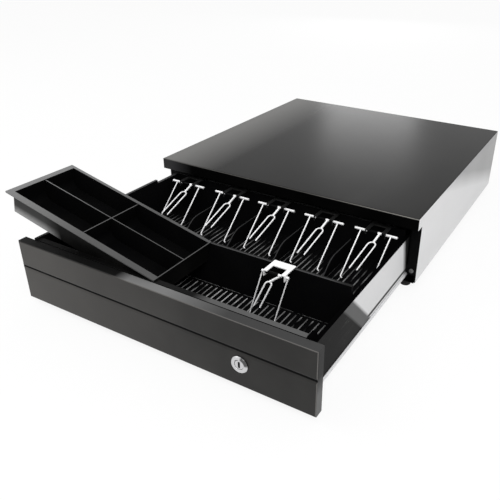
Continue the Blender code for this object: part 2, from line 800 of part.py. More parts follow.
def clip_bracket(name, x, wall_y, hinge_y, wall_top):
    """Press the U-shaped bracket that stands on a wall and holds a clip's rod in its two ears."""
    low = wall_top + seat_gap
    top = low + bracket_sheet
    hinge_z = top - clip_hinge_drop
    bar_back = wall_y + bracket_arm_width / 2
    inner = bracket_half_width - bracket_arm_width
    plate = block(span(x, bracket_half_width), (hinge_y - bracket_ear_half, bar_back), (low, top))
    window = block(span(x, inner), (hinge_y - bracket_ear_half - overrun, bar_back - bracket_bar_depth),
                   (low - overrun, top + overrun))
    ears = [block((x + side * bracket_half_width, x + side * (bracket_half_width - bracket_sheet)),
                  span(hinge_y, bracket_ear_half), (top - bracket_ear_height, top)) for side in (-1, 1)]
    rod_hole = disc(clip_rod_radius + clip_hole_gap, (x, hinge_y, hinge_z), "x",
                    -bracket_half_width - overrun, bracket_half_width + overrun, 16)
    heads = [turned([(0, top - bracket_sheet / 2), (screw_radius, top - bracket_sheet / 2),
                     (screw_radius, top + bracket_sheet / 3), (screw_radius / 2, top + bracket_sheet / 2),
                     (0, top + bracket_sheet / 2)], (x + side * inner, wall_y, 0), "z", 10)
             for side in (-1, 1)]
    make(name, plate, bright_wire, "drawer", cut(window), joined(*ears, *heads), cut(rod_hole))


def note_clip(number, x):
    """Bend a note clip's rod, two long legs and the short fork between them."""
    name = f"note_clip_{number}"
    hinge = Vector((x, clip_hinge_y, clip_hinge_z))
    body(name, "drawer", hinge)
    clip_bracket(f"clip_bracket_{number}", x, (rear_wall_y + tray_back_y) / 2, clip_hinge_y, tray_back_top)
    foot_y = clip_hinge_y - clip_leg_reach
    solids = []
    for side in (-1, 1):
        leg_x = x + side * clip_leg_x
        foot_x_here = leg_x - clip_leg_lean
        solids.append(wire(fillet([(leg_x, clip_hinge_y, clip_hinge_z), (foot_x_here, foot_y, clip_floor_z),
                                   (foot_x_here + clip_foot_turn, foot_y, clip_floor_z)],
                                  clip_bend_radius, 3), clip_wire_radius))
    start = hinge + Vector((clip_fork_x, 0, 0))
    tips = hinge - Vector((clip_fork_lean, clip_fork_reach, clip_fork_drop))
    shoulder = start + (tips - start) * clip_shoulder_share
    across = Vector((clip_fork_half, 0, 0))
    fork = fillet([tips - across, shoulder - across, shoulder + across, tips + across],
                  clip_fork_half, 4)
    solids.append(wire(fork, clip_wire_radius))
    solids.append(wire([start, shoulder], clip_stem_radius))
    rod = wire([hinge - Vector((clip_rod_half, 0, 0)), hinge + Vector((clip_rod_half, 0, 0))],
               clip_rod_radius)
    make(name, rod, bright_wire, name, joined(*solids))


def front_note_clip(number):
    """Bend the clip of the front compartment, whose legs lean to the left and whose fork is offset."""
    name = f"note_clip_{number}"
    x = front_clip_x
    hinge = Vector((x, front_clip_hinge_y, front_clip_hinge_z))
    body(name, "drawer", hinge)
    clip_bracket(f"clip_bracket_{number}", x, partition_y, front_clip_hinge_y, tray_wall_top)
    foot_y = front_clip_hinge_y - front_clip_leg_reach
    solids = []
    for side in (-1, 1):
        leg_x = x + side * front_clip_leg_x
        foot_x_here = leg_x - front_clip_leg_lean
        solids.append(wire(fillet([(leg_x, front_clip_hinge_y, front_clip_hinge_z),
                                   (foot_x_here, foot_y, clip_floor_z),
                                   (foot_x_here + clip_foot_turn, foot_y, clip_floor_z)],
                                  clip_bend_radius, 3), clip_wire_radius))
    start = hinge + Vector((front_clip_fork_start_x, 0, 0))
    tips = hinge - Vector((front_clip_fork_x, front_clip_fork_reach, front_clip_fork_drop))
    shoulder = hinge + Vector(front_clip_shoulder)
    across = Vector((front_clip_fork_half, 0, 0))
    solids.append(wire(fillet([tips - across, shoulder - across, shoulder + across, tips + across],
                              front_clip_fork_half, 4), clip_wire_radius))
    solids.append(wire([start, shoulder], clip_stem_radius))
    rod = wire([hinge - Vector((front_clip_rod_half, 0, 0)), hinge + Vector((front_clip_rod_half, 0, 0))],
               clip_rod_radius)
    make(name, rod, bright_wire, name, joined(*solids))


def build_clips():
    """Set five clips along the rear wall, with their play taken up to the right, and one on the partition."""
    play = slot_pitch / 2 - clip_rod_half
    for index in range(slot_count):
        share = clip_shift_share if index else first_clip_shift_share
        note_clip(index + 1, (index - (slot_count - 1) / 2) * slot_pitch + play * share)
    front_note_clip(slot_count + 1)


def build_coin_tray():
    """Mould the loose coin tray: a wide rim, a basket with rounded ends and four scooped cups."""
    basket_x = (-coin_length + coin_rim_left, 0)
    basket_y = (coin_rim_front, coin_width - coin_rim_back)
    outer = fillet([(basket_x[0], -coin_rim / 2), (basket_x[0], -coin_depth), (0, -coin_depth),
                    (0, -coin_rim / 2)], coin_cup_radius + coin_wall, 5)
    basket = prism(outer, "y", *basket_y)
    rim = prism(closed_fillet([(-coin_length, 0), (0, 0), (0, coin_width), (-coin_length, coin_width)],
                              coin_rim, 2), "z", -coin_rim, 0)
    middle_x = (basket_x[0] + basket_x[1]) / 2
    middle_y = (basket_y[0] + basket_y[1]) / 2
    cups_x = ((basket_x[0] + coin_wall, middle_x - coin_wall / 2), (middle_x + coin_wall / 2, -coin_wall))
    cups_y = ((basket_y[0] + coin_wall, middle_y - coin_wall / 2),
              (middle_y + coin_wall / 2, basket_y[1] - coin_wall))
    cups = []
    for low_x, high_x in cups_x:
        profile = fillet([(low_x, overrun), (low_x, coin_wall - coin_depth),
                          (high_x, coin_wall - coin_depth), (high_x, overrun)], coin_cup_radius, 5)
        cups += [prism(profile, "y", *limits) for limits in cups_y]
    step = block((cups_x[0][0], cups_x[1][1]), (cups_y[0][0], cups_y[1][1]), (-coin_divider_drop, overrun))
    make("coin_tray", basket, black_plastic, "coin_tray", joined(rim), cut(*cups, step), turn_y=coin_tilt)


def build_latch():
    """Set the latch hook, its bracket and its solenoid behind the drawer, and the striker on it."""
    cheek_outer = cheek_inner + cheek_sheet
    pivot = (0, hook_pivot_y, hook_pivot_z)
    outline = [(-cheek_outer, floor_seat_z), (cheek_outer, floor_seat_z), (cheek_outer, cheek_top),
               (cheek_inner, cheek_top), (cheek_inner, floor_seat_z + cheek_sheet),
               (-cheek_inner, floor_seat_z + cheek_sheet), (-cheek_inner, cheek_top),
               (-cheek_outer, cheek_top)]
    make("latch_bracket", prism(outline, "y", cheek_front_y, cheek_back_y), zinc, "case",
         joined(block(span(0, striker_plate_half), (cheek_front_y + overrun, cheek_back_y - overrun),
                      (floor_seat_z, floor_seat_z + cheek_sheet))),
         cut(disc(hook_pin_radius + seat_gap, pivot, "x", -cheek_outer - overrun, cheek_outer + overrun, 16)))
    make("hook_pin", disc(hook_pin_radius, pivot, "x", -cheek_outer - seat_gap, cheek_outer + seat_gap, 16),
         zinc, "case")

    lever_top = lever_low_z + lever_height
    lever = [(barb_front_y, lever_low_z), (barb_front_y + barb_length / 2, lever_low_z - barb_drop),
             (barb_back_y, lever_low_z - barb_drop), (barb_back_y, lever_low_z),
             (hook_pivot_y, lever_low_z), (hook_pivot_y, lever_top), (barb_front_y, lever_top)]
    slot_y = solenoid_y - clevis_slot_length / 2
    slot_radius = clevis_pin_radius + running_gap
    make("latch_hook", prism(lever, "x", *span(0, lever_half)), zinc, "latch_hook",
         joined(disc(lever_height * lever_boss_share, pivot, "x", -lever_half, lever_half, 20)),
         cut(disc(hook_pin_radius + running_gap, pivot, "x", -overrun, overrun, 16),
             disc(slot_radius, (0, solenoid_y, clevis_pin_z), "x", -overrun, overrun, 16),
             disc(slot_radius, (0, slot_y, clevis_pin_z), "x", -overrun, overrun, 16)))

    frame_top = frame_low_z + solenoid_height
    front, back = span(solenoid_y, solenoid_half)
    frame = [(front, frame_low_z), (back + solenoid_sheet, frame_low_z), (back + solenoid_sheet, frame_top),
             (front, frame_top), (front, frame_top - solenoid_sheet), (back, frame_top - solenoid_sheet),
             (back, frame_low_z + solenoid_sheet), (front, frame_low_z + solenoid_sheet)]
    bore = plunger_radius + running_gap
    place = (0, solenoid_y, 0)
    make("solenoid_frame", prism(frame, "x", *span(0, solenoid_half)), zinc, "case",
         cut(disc(bore, place, "z", frame_low_z - overrun, frame_low_z + overrun)))
    coil_low = frame_low_z + solenoid_sheet + seat_gap
    coil_top = frame_top - solenoid_sheet - seat_gap
    make("solenoid_coil", turned([(bore, coil_low), (coil_radius, coil_low), (coil_radius, coil_top),
                                  (bore, coil_top)], place, "z", 28), coil_tape, "case")
    make("solenoid_plunger", disc(plunger_radius, place, "z", plunger_low_z, plunger_low_z + plunger_length),
         zinc, "solenoid_plunger", cut(
             block(span(0, clevis_half), span(solenoid_y, solenoid_half), (0, lever_top + overrun)),
             disc(clevis_pin_radius + seat_gap, (0, solenoid_y, clevis_pin_z), "x", -overrun, overrun, 12)))
    make("clevis_pin", disc(clevis_pin_radius, (0, solenoid_y, clevis_pin_z), "x",
                            -plunger_radius, plunger_radius, 12), zinc, "solenoid_plunger")

    plate_y = (tub_back_y + seat_gap, tub_back_y + seat_gap + tub_sheet)
    ears = [block((side * striker_half, side * (striker_half + cheek_sheet)),
                  (plate_y[0], plate_y[0] + striker_depth), (striker_low_z, striker_top_z))
            for side in (-1, 1)]
    pin = disc(striker_pin_radius, (0, striker_pin_y, striker_pin_z), "x",
               -striker_half - cheek_sheet / 2, striker_half + cheek_sheet / 2, 16)
    make("striker", block(span(0, striker_plate_half), plate_y,
                          (striker_low_z - striker_plate_margin, striker_top_z + striker_plate_margin)),
         zinc, "drawer", joined(*ears, pin))


def coil_tape(name):
    """Yellow-brown tape round the solenoid's winding."""
    return material(name, (0.35, 0.20, 0.05), 0.5)


def build_ejector():
    """Turn the push-out plunger, its housing on a saddle, and the spring inside."""
    place = (ejector_x, 0, ejector_z)
    web_y = (ejector_front_y + overrun, ejector_back_y - overrun)
    make("ejector_housing", turned([(ejector_bore, ejector_front_y), (ejector_radius, ejector_front_y),
                                    (ejector_radius, ejector_back_y), (0, ejector_back_y),
                                    (0, ejector_back_y - ejector_wall),
                                    (ejector_bore, ejector_back_y - ejector_wall)], place, "y", 28),
         zinc, "case",
         joined(block(span(ejector_x, saddle_web_half), web_y,
                      (floor_seat_z, ejector_z - ejector_radius + ejector_wall / 2)),
                block(span(ejector_x, saddle_half_width), web_y,
                      (floor_seat_z, floor_seat_z + saddle_sheet))))
    outer = ejector_bore - running_gap
    plunger_back_y = plunger_front_y + ejector_length
    inside_y = plunger_front_y + ejector_nose
    make("ejector_plunger", turned([(0, plunger_front_y), (outer - ejector_nose / 4, plunger_front_y),
                                    (outer, plunger_front_y + ejector_nose / 4), (outer, plunger_back_y),
                                    (ejector_bore_radius, plunger_back_y),
                                    (ejector_bore_radius, inside_y), (0, inside_y)], place, "y", 28),
         black_plastic, "ejector_plunger")
    start = inside_y + seat_gap + spring_wire_radius
    end = ejector_back_y - ejector_wall - seat_gap - spring_wire_radius
    knots = spring_turns * spring_steps
    points = []
    for knot in range(knots + 1):
        angle = knot * math.tau / spring_steps
        points.append(Vector((ejector_x + spring_radius * math.cos(angle),
                              start + (end - start) * knot / knots,
                              ejector_z + spring_radius * math.sin(angle))))
    make("ejector_spring", wire(points, spring_wire_radius, 1), zinc, "case")
    least = min((points[first] - points[second]).length for first in range(0, knots)
                for second in range(first + spring_steps - 2, min(first + spring_steps + 3, knots + 1)))
    print("ejector spring, least gap to itself in mm:", round(1000 * (least - 2 * spring_wire_radius), 2))


def build_socket():
    """Make the trigger socket in the rear panel and the lead from it to the solenoid.

    The lead is longer than the straight way: it drops from the socket, lies on the base and rises to
    the coil.
    """
    shell = block(span(jack_x, jack_width / 2), (jack_y, case_depth), span(jack_z, jack_height / 2))
    flange_back = case_depth - case_sheet - seat_gap
    make("jack_socket", shell, black_plastic, "case",
         joined(block(span(jack_x, jack_width / 2 + jack_flange), (flange_back - jack_flange, flange_back),
                      span(jack_z, jack_height / 2 + jack_flange))),
         cut(block(span(jack_x, jack_mouth_width / 2), (case_depth - jack_mouth_depth, case_depth + overrun),
                   span(jack_z, jack_mouth_height / 2))))
    coil_mid = frame_low_z + solenoid_height / 2
    coil_side = -coil_radius - seat_gap
    start_y = jack_y - seat_gap
    lying_z = case_sheet + seat_gap + lead_radius
    route = fillet([(jack_x, start_y, jack_z), (jack_x, start_y - lead_bend, jack_z),
                    (jack_x + lead_bend, lead_run_y, lying_z), (jack_x + 3 * lead_bend, lead_run_y, lying_z),
                    (coil_side - 3 * lead_bend, lead_run_y, lying_z),
                    (coil_side - lead_bend, lead_run_y, lying_z),
                    (coil_side - lead_bend, solenoid_y, coil_mid), (coil_side, solenoid_y, coil_mid)],
                   lead_bend, 4)
    make("solenoid_lead", wire(route, lead_radius, 1), rubber, "case")


def set_down():
    """Move the whole part so that its box stands on Z = 0 with its middle at X = Y = 0."""
    bpy.context.view_layer.update()
    corners = [thing.matrix_world @ vert.co for thing in bpy.data.objects if thing.type == "MESH"
               for vert in thing.data.vertices]
    low = Vector([min(corner[axis] for corner in corners) for axis in range(3)])
    high = Vector([max(corner[axis] for corner in corners) for axis in range(3)])
    shift = Vector((-(low.x + high.x) / 2, -(low.y + high.y) / 2, -low.z))
    empties["case"].location += shift
    bpy.context.view_layer.update()
    print("set down by", [round(value, 6) for value in shift])


def main():
    """Clear the scene and build the drawer, body by body."""
    for thing in list(bpy.data.objects):
        bpy.data.objects.remove(thing)
    body("case")
    body("mid_runners", "case")
    body("drawer", "mid_runners")
    body("lock_plug", "drawer", (lock_x, front_y, lock_z))
    body("coin_tray", "drawer", (coin_end_x, front_rim_y + seat_gap, coin_end_z))
    body("latch_hook", "case", (0, hook_pivot_y, hook_pivot_z))
    body("solenoid_plunger", "case", (0, solenoid_y, plunger_low_z))
    body("ejector_plunger", "case", (ejector_x, plunger_front_y, ejector_z))
    build_case_shell()
    build_feet()
    build_front_posts()
    build_runners()
    build_drawer_body()
    build_lock()
    build_note_tray()
    build_clips()
    build_coin_tray()
    build_latch()
    build_ejector()
    build_socket()
    set_down()


main()
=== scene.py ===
"""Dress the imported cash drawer: real bends, moulded trays, bent wires, a turned lock and their finishes."""
from __future__ import annotations

import logging
import math
from dataclasses import dataclass
from enum import Enum
from functools import reduce
from typing import Callable, Iterable, Sequence

import bmesh
import bpy
from mathutils import Matrix, Vector


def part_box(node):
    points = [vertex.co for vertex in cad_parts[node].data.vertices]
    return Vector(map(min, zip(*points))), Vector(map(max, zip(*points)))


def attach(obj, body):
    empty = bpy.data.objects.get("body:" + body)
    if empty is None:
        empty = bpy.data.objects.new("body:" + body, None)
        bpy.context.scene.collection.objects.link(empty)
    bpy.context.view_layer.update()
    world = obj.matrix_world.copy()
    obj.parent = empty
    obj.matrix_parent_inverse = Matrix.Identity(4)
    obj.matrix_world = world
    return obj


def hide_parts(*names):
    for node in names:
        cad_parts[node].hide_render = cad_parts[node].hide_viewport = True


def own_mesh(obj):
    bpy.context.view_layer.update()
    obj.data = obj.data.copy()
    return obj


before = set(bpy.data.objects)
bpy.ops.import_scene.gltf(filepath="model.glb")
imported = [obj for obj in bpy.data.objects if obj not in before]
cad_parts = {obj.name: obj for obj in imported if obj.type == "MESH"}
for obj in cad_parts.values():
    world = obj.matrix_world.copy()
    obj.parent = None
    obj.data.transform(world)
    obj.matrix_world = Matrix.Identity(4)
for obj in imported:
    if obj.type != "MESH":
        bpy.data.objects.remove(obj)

LOG = logging.getLogger("cash_drawer")
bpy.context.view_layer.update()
# A millimetre in metres, and how close two places are to count as one
MM = 0.001
NEAR = MM / 10
# How squarely a face has to look along an axis, and the angle in degrees that makes an edge a corner
FACING, SHARP = 0.9, 60.0
# Steps across a softened edge, along a wire's bend and in a wire's roundness
SOFT_STEPS, BEND_STEPS, ROUND_STEPS = 2, 6, 4
Point = Sequence[float]
Span = tuple[float, float]
Tree = bpy.types.NodeTree
Node = bpy.types.Node
Socket = bpy.types.NodeSocket
Chooser = Callable[[Vector, Vector], int]


class Body(Enum):
    """The bodies that pieces ride on."""

    CASE = "case"
    DRAWER = "drawer"
    LOCK_PLUG = "lock_plug"
    COIN_TRAY = "coin_tray"
    NOTE_CLIP_1 = "note_clip_1"
    NOTE_CLIP_2 = "note_clip_2"
    NOTE_CLIP_3 = "note_clip_3"
    NOTE_CLIP_4 = "note_clip_4"
    NOTE_CLIP_5 = "note_clip_5"
    NOTE_CLIP_6 = "note_clip_6"


class Side(Enum):
    """A left or right piece, with its sign along X."""

    LEFT = -1
    RIGHT = 1

    @property
    def word(self) -> str:
        """Return the side's word in node names."""
        return self.name.lower()


class Axis(Enum):
    """An axis of the frame, with its place in a point."""

    X = 0
    Y = 1
    Z = 2

    @property
    def vector(self) -> Vector:
        """Return the axis's unit vector."""
        return Vector([1.0 if index == self.value else 0.0 for index in range(3)])


class Part(Enum):
    """What can be picked in a mesh, with edit mode's word for it."""

    FACES = "FACE"
    EDGES = "EDGE"
    POINTS = "VERT"


class Grain(Enum):
    """How fine and how deep a surface's grain is."""

    PLAIN = (1400.0, 0.05)
    FINE_ENAMEL = (900.0, 0.06)
    ENAMEL = (900.0, 0.10)
    FRONT_ENAMEL = (900.0, 0.12)
    SHEET = (800.0, 0.05)
    MOULDED = (1600.0, 0.10)
    COIN_TRAY = (1600.0, 0.08)
    ZINC = (500.0, 0.08)
    NYLON = (1500.0, 0.06)
    WIRE = (2600.0, 0.03)
    PLATE = (2200.0, 0.05)
    CHROME = (2200.0, 0.03)
    RUBBER = (1200.0, 0.25)
    TAPE = (700.0, 0.12)
    LEAD = (900.0, 0.08)


def mm(*values: float) -> tuple[float, ...]:
    """Return millimetres as metres."""
    return tuple(value * MM for value in values)


def moved(span: Span, offset: float) -> Span:
    """Return a span moved by an offset."""
    return span[0] + offset, span[1] + offset


def rgba(colour: Point, share: float = 1.0) -> tuple[float, ...]:
    """Return a share of a colour, with full cover."""
    return (*(min(1.0, part * share) for part in colour), 1.0)


def grey(level: float, share: float = 1.0) -> tuple[float, ...]:
    """Return a share of a grey, with full cover."""
    return rgba((level, level, level), share)


def case_origin() -> Vector:
    """Return the point midway along the case's lower front edge, where the sizes start."""
    low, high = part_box("case_cover")
    return Vector(((low.x + high.x) / 2, low.y, low.z))


# Finishes


class NodeBench:
    """Adds and links shader nodes in one tree."""

    def __init__(self, tree: Tree) -> None:
        """Keep the material's or group's tree."""
        self.tree = tree

    def feed(self, target: Socket, value: object) -> None:
        """Link a socket to an input, or give the input a value.

        Args:
            target: The input.
            value: The socket or the value.
        """
        if isinstance(value, Socket):
            self.tree.links.new(value, target)
        else:
            target.default_value = value

    def add(self, kind: str, values: dict[str | int, object] | None = None, **settings: object) -> Node:
        """Add a node.

        Args:
            kind: The node's type.
            values: Inputs with a value each or a socket to link from.
            settings: Node properties.

        Returns:
            The new node.
        """
        node = self.tree.nodes.new(kind)
        for key, value in settings.items():
            setattr(node, key, value)
        for key, value in (values or {}).items():
            self.feed(node.inputs[key], value)
        return node

    def math(self, operation: str, first: object, second: object = 0.0) -> Socket:
        """Return the result of a maths node on two values or sockets."""
        return self.add("ShaderNodeMath", {0: first, 1: second}, operation=operation).outputs[0]

    def product(self, *values: object) -> Socket:
        """Return the product of some values or sockets."""
        return reduce(lambda first, other: self.math("MULTIPLY", first, other), values)

    def away(self, value: object, middle: float) -> Socket:
        """Return how far a value lies from a middle one."""
        return self.math("ABSOLUTE", self.math("SUBTRACT", value, middle))

    def along(self, place: object, direction: object) -> Socket:
        """Return how far a place or a normal reaches along a direction."""
        node = self.add("ShaderNodeVectorMath", {0: place, 1: direction}, operation="DOT_PRODUCT")
        return node.outputs["Value"]

    def mix(self, share: object, first: object, second: object) -> Socket:
        """Return the first colour with a share of the second laid over it."""
        return self.add("ShaderNodeMix", {0: share, 6: first, 7: second}, data_type="RGBA").outputs[2]

    def ramp(self, value: object, low: float, high: float,
             to_low: float = 0.0, to_high: float = 1.0) -> Socket:
        """Return a value spread from one range over another and held at its ends."""
        return self.add("ShaderNodeMapRange", {"Value": value, "From Min": low, "From Max": high,
                                               "To Min": to_low, "To Max": to_high}).outputs["Result"]

    def place(self) -> Socket:
        """Return the place on the object."""
        return self.add("ShaderNodeTexCoord").outputs["Object"]

    def place_parts(self) -> Iterable[Socket]:
        """Return the X, Y and Z of the place on the object."""
        return self.add("ShaderNodeSeparateXYZ", {"Vector": self.place()}).outputs

    def noise(self, scale: object, detail: float = 3.0, stretch: Point | None = None) -> Socket:
        """Add noise over the object.

        Args:
            scale: Its scale, a value or a socket.
            detail: Its octaves.
            stretch: How much the pattern is pressed together along each axis.

        Returns:
            The noise's value.
        """
        place = self.place()
        if stretch:
            place = self.add("ShaderNodeMapping", {"Vector": place, "Scale": stretch}).outputs[0]
        return self.add("ShaderNodeTexNoise", {"Vector": place, "Scale": scale, "Detail": detail}).outputs[0]

    def effect(self, group: Tree, **values: float) -> Socket:
        """Place a node group with its own values and return what it puts out."""
        return self.add("ShaderNodeGroup", values, node_tree=group).outputs[0]


class Effects:
    """The shader node groups that several finishes share, each built once."""

    BEVEL_SAMPLES = 6
    EDGE_SPAN, BREAK_SPAN = (0.995, 0.90), (0.38, 0.62)
    CLOUD_DETAIL, CLOUD_SPAN, CLOUD_SHARE = 4.0, (0.42, 0.70), 0.6
    WIPE_DETAIL, WIPE_SPAN, WIPE_SHARE, WIPE_STRETCH = 2.0, (0.40, 0.66), 0.4, (1.0, 0.22, 1.0)
    GRAIN_DETAIL, FINE_SHARE, COARSE_SHARE, COARSE_SCALE = 2.0, 0.7, 0.3, 0.23
    LINE_DETAIL, LINE_SPAN, LINE_STRETCH = 1.0, (0.012, 0.0), (1.0, 0.03, 1.0)
    PATCH_SCALE, PATCH_SPAN = 26.0, (0.50, 0.66)
    made: dict[str, Tree] = {}

    @classmethod
    def _group(cls, name: str, output: str, inputs: dict[str, float],
               fill: Callable[[NodeBench, Node], Socket]) -> Tree:
        """Return a group with one output, and build it the first time.

        Args:
            name: The group's name.
            output: Its output's name.
            inputs: Its inputs and their defaults.
            fill: Takes its tree and its input node, adds its nodes and returns what it puts out.

        Returns:
            The node group.
        """
        if name not in cls.made:
            tree = bpy.data.node_groups.new(name, "ShaderNodeTree")
            for key, value in inputs.items():
                socket = tree.interface.new_socket(name=key, in_out="INPUT", socket_type="NodeSocketFloat")
                socket.default_value = value
            tree.interface.new_socket(name=output, in_out="OUTPUT", socket_type="NodeSocketFloat")
            bench = NodeBench(tree)
            bench.add("NodeGroupOutput", {output: fill(bench, bench.add("NodeGroupInput"))})
            cls.made[name] = tree
        return cls.made[name]

    @classmethod
    def edge_wear(cls) -> Tree:
        """Return the group that finds edges, broken up by noise."""
        return cls._group("edge_wear", "Mask", {"Width": 0.0008, "Break Scale": 220.0, "Amount": 1.0},
                          cls._edges)

    @classmethod
    def dust(cls) -> Tree:
        """Return the group that gives faint dust and wiping marks."""
        return cls._group("dust_and_wipes", "Mask", {"Scale": 14.0, "Wipe Scale": 30.0, "Amount": 1.0},
                          cls._clouds)

    @classmethod
    def grain(cls) -> Tree:
        """Return the group that gives a fine surface grain as a height."""
        return cls._group("fine_grain", "Height", {"Scale": 1400.0}, cls._grains)

    @classmethod
    def scratches(cls) -> Tree:
        """Return the group that gives thin rubbed lines along the drawer's travel."""
        return cls._group("rubbed_lines", "Mask", {"Scale": 320.0, "Amount": 1.0}, cls._lines)

    @classmethod
    def _edges(cls, bench: NodeBench, inside: Node) -> Socket:
        """Compare a rounded normal with the flat one.

        Args:
            bench: The group's tree.
            inside: Its input node.

        Returns:
            The mask.
        """
        rounded = bench.add("ShaderNodeBevel", {"Radius": inside.outputs["Width"]}, samples=cls.BEVEL_SAMPLES)
        flat = bench.add("ShaderNodeNewGeometry").outputs["Normal"]
        edge = bench.ramp(bench.along(rounded.outputs[0], flat), *cls.EDGE_SPAN)
        broken = bench.ramp(bench.noise(inside.outputs["Break Scale"]), *cls.BREAK_SPAN)
        return bench.product(edge, broken, inside.outputs["Amount"])

    @classmethod
    def _clouds(cls, bench: NodeBench, inside: Node) -> Socket:
        """Lay round clouds over long wiping marks.

        Args:
            bench: The group's tree.
            inside: Its input node.

        Returns:
            The mask.
        """
        cloud = bench.ramp(bench.noise(inside.outputs["Scale"], cls.CLOUD_DETAIL), *cls.CLOUD_SPAN)
        wiped = bench.noise(inside.outputs["Wipe Scale"], cls.WIPE_DETAIL, cls.WIPE_STRETCH)
        both = bench.math("ADD", bench.product(cloud, cls.CLOUD_SHARE),
                          bench.product(bench.ramp(wiped, *cls.WIPE_SPAN), cls.WIPE_SHARE))
        return bench.product(both, inside.outputs["Amount"])

    @classmethod
    def _grains(cls, bench: NodeBench, inside: Node) -> Socket:
        """Add a coarser noise to a fine one.

        Args:
            bench: The group's tree.
            inside: Its input node.

        Returns:
            The height.
        """
        fine = bench.noise(inside.outputs["Scale"], cls.GRAIN_DETAIL)
        coarse = bench.noise(bench.product(inside.outputs["Scale"], cls.COARSE_SCALE), cls.GRAIN_DETAIL)
        return bench.math("ADD", bench.product(fine, cls.FINE_SHARE), bench.product(coarse, cls.COARSE_SHARE))

    @classmethod
    def _lines(cls, bench: NodeBench, inside: Node) -> Socket:
        """Draw thin lines out of stretched noise, in patches.

        Args:
            bench: The group's tree.
            inside: Its input node.

        Returns:
            The mask.
        """
        lines = bench.noise(inside.outputs["Scale"], cls.LINE_DETAIL, cls.LINE_STRETCH)
        thin = bench.ramp(bench.away(lines, 0.5), *cls.LINE_SPAN)
        patch = bench.ramp(bench.noise(cls.PATCH_SCALE), *cls.PATCH_SPAN)
        return bench.product(thin, patch, inside.outputs["Amount"])


@dataclass(frozen=True)
class Finish:
    """A surface finish: a base, its gloss, its grain, worn edges and a little dust."""

    name: str
    colour: Point
    roughness: float
    grain: Grain = Grain.PLAIN
    dust: float = 0.05
    specular: float = 0.5
    metallic: float = 0.0
    rounding: float = 0.0
    rub: float = 0.0
    edge: float = 0.0
    # The grey of worn edges and rubbed lines; the tray plastic also paints its rib highlights in it.
    edge_grey: float = 0.30
    edge_width: float = 0.0008

    DUST_COLOUR, DUST_ROUGHENS, RUB_POLISHES = (0.35, 0.34, 0.32), 1.6, 0.1
    CLOUD_SCALE, LIGHTER, DARKER = 9.0, 1.12, 0.90
    GRAIN_REACH = 0.0004

    def build(self) -> bpy.types.Material:
        """Build the material the first time that it is asked for.

        Returns:
            The material.
        """
        known = bpy.data.materials.get(self.name)
        if known is not None:
            return known
        material = bpy.data.materials.new(self.name)
        material.use_nodes = True
        bench = NodeBench(material.node_tree)
        dust = bench.effect(Effects.dust(), Amount=self.dust)
        colour = bench.mix(dust, self.base(bench), rgba(self.DUST_COLOUR))
        rough = bench.math("ADD", self.roughness, bench.product(dust, self.DUST_ROUGHENS))
        if self.edge:
            worn = bench.effect(Effects.edge_wear(), Width=self.edge_width, Amount=self.edge)
            colour = bench.mix(worn, colour, grey(self.edge_grey))
        if self.rub:
            rubbed = bench.effect(Effects.scratches(), Amount=self.rub)
            colour = bench.mix(rubbed, colour, grey(self.edge_grey))
            rough = bench.math("SUBTRACT", rough, bench.product(rubbed, self.RUB_POLISHES))
        scale, depth = self.grain.value
        bump = bench.add("ShaderNodeBump", {"Strength": depth, "Distance": self.GRAIN_REACH,
                                            "Height": bench.effect(Effects.grain(), Scale=scale)})
        if self.rounding:
            soft = bench.add("ShaderNodeBevel", {"Radius": self.rounding}, samples=Effects.BEVEL_SAMPLES)
            bench.feed(bump.inputs["Normal"], soft.outputs[0])
        shader = material.node_tree.nodes["Principled BSDF"]
        for name, value in (("Base Color", colour), ("Roughness", rough), ("Normal", bump.outputs[0]),
                            ("Metallic", self.metallic), ("Specular IOR Level", self.specular)):
            bench.feed(shader.inputs[name], value)
        return material

    def base(self, bench: NodeBench) -> object:
        """Return the base colour, a little uneven."""
        return bench.mix(bench.noise(self.CLOUD_SCALE), rgba(self.colour, self.DARKER),
                         rgba(self.colour, self.LIGHTER))


@dataclass(frozen=True)
class Step:
    """A change of tone to a share of the colour, over a stretch along one direction."""

    share: float
    start: float
    end: float
    along: Point = (1.0, 0.0, 0.0)


@dataclass(frozen=True)
class Graded(Finish):
    """A finish whose tone changes in steps, placed from the case's lower front edge; the steps paint light
    and shade.
    """

    steps: Sequence[Step] = ()
    cloud_scale: float = 7.0
    cloud_reach: float = 0.0

    CLOUD_DETAIL = 2.0

    def base(self, bench: NodeBench) -> object:
        """Lay each step over the ones before it.

        Args:
            bench: The material's tree.

        Returns:
            The base colour.
        """
        cloud = bench.noise(self.cloud_scale, self.CLOUD_DETAIL)
        wander = bench.product(bench.math("SUBTRACT", cloud, 0.5), self.cloud_reach)
        place = bench.place()
        tone: object = rgba(self.colour)
        for step in self.steps:
            reach = bench.math("ADD", bench.along(place, step.along), wander)
            offset = case_origin().dot(Vector(step.along))
            share = bench.ramp(reach, *moved((step.start, step.end), offset))
            tone = bench.mix(share, tone, rgba(self.colour, step.share))
        return tone


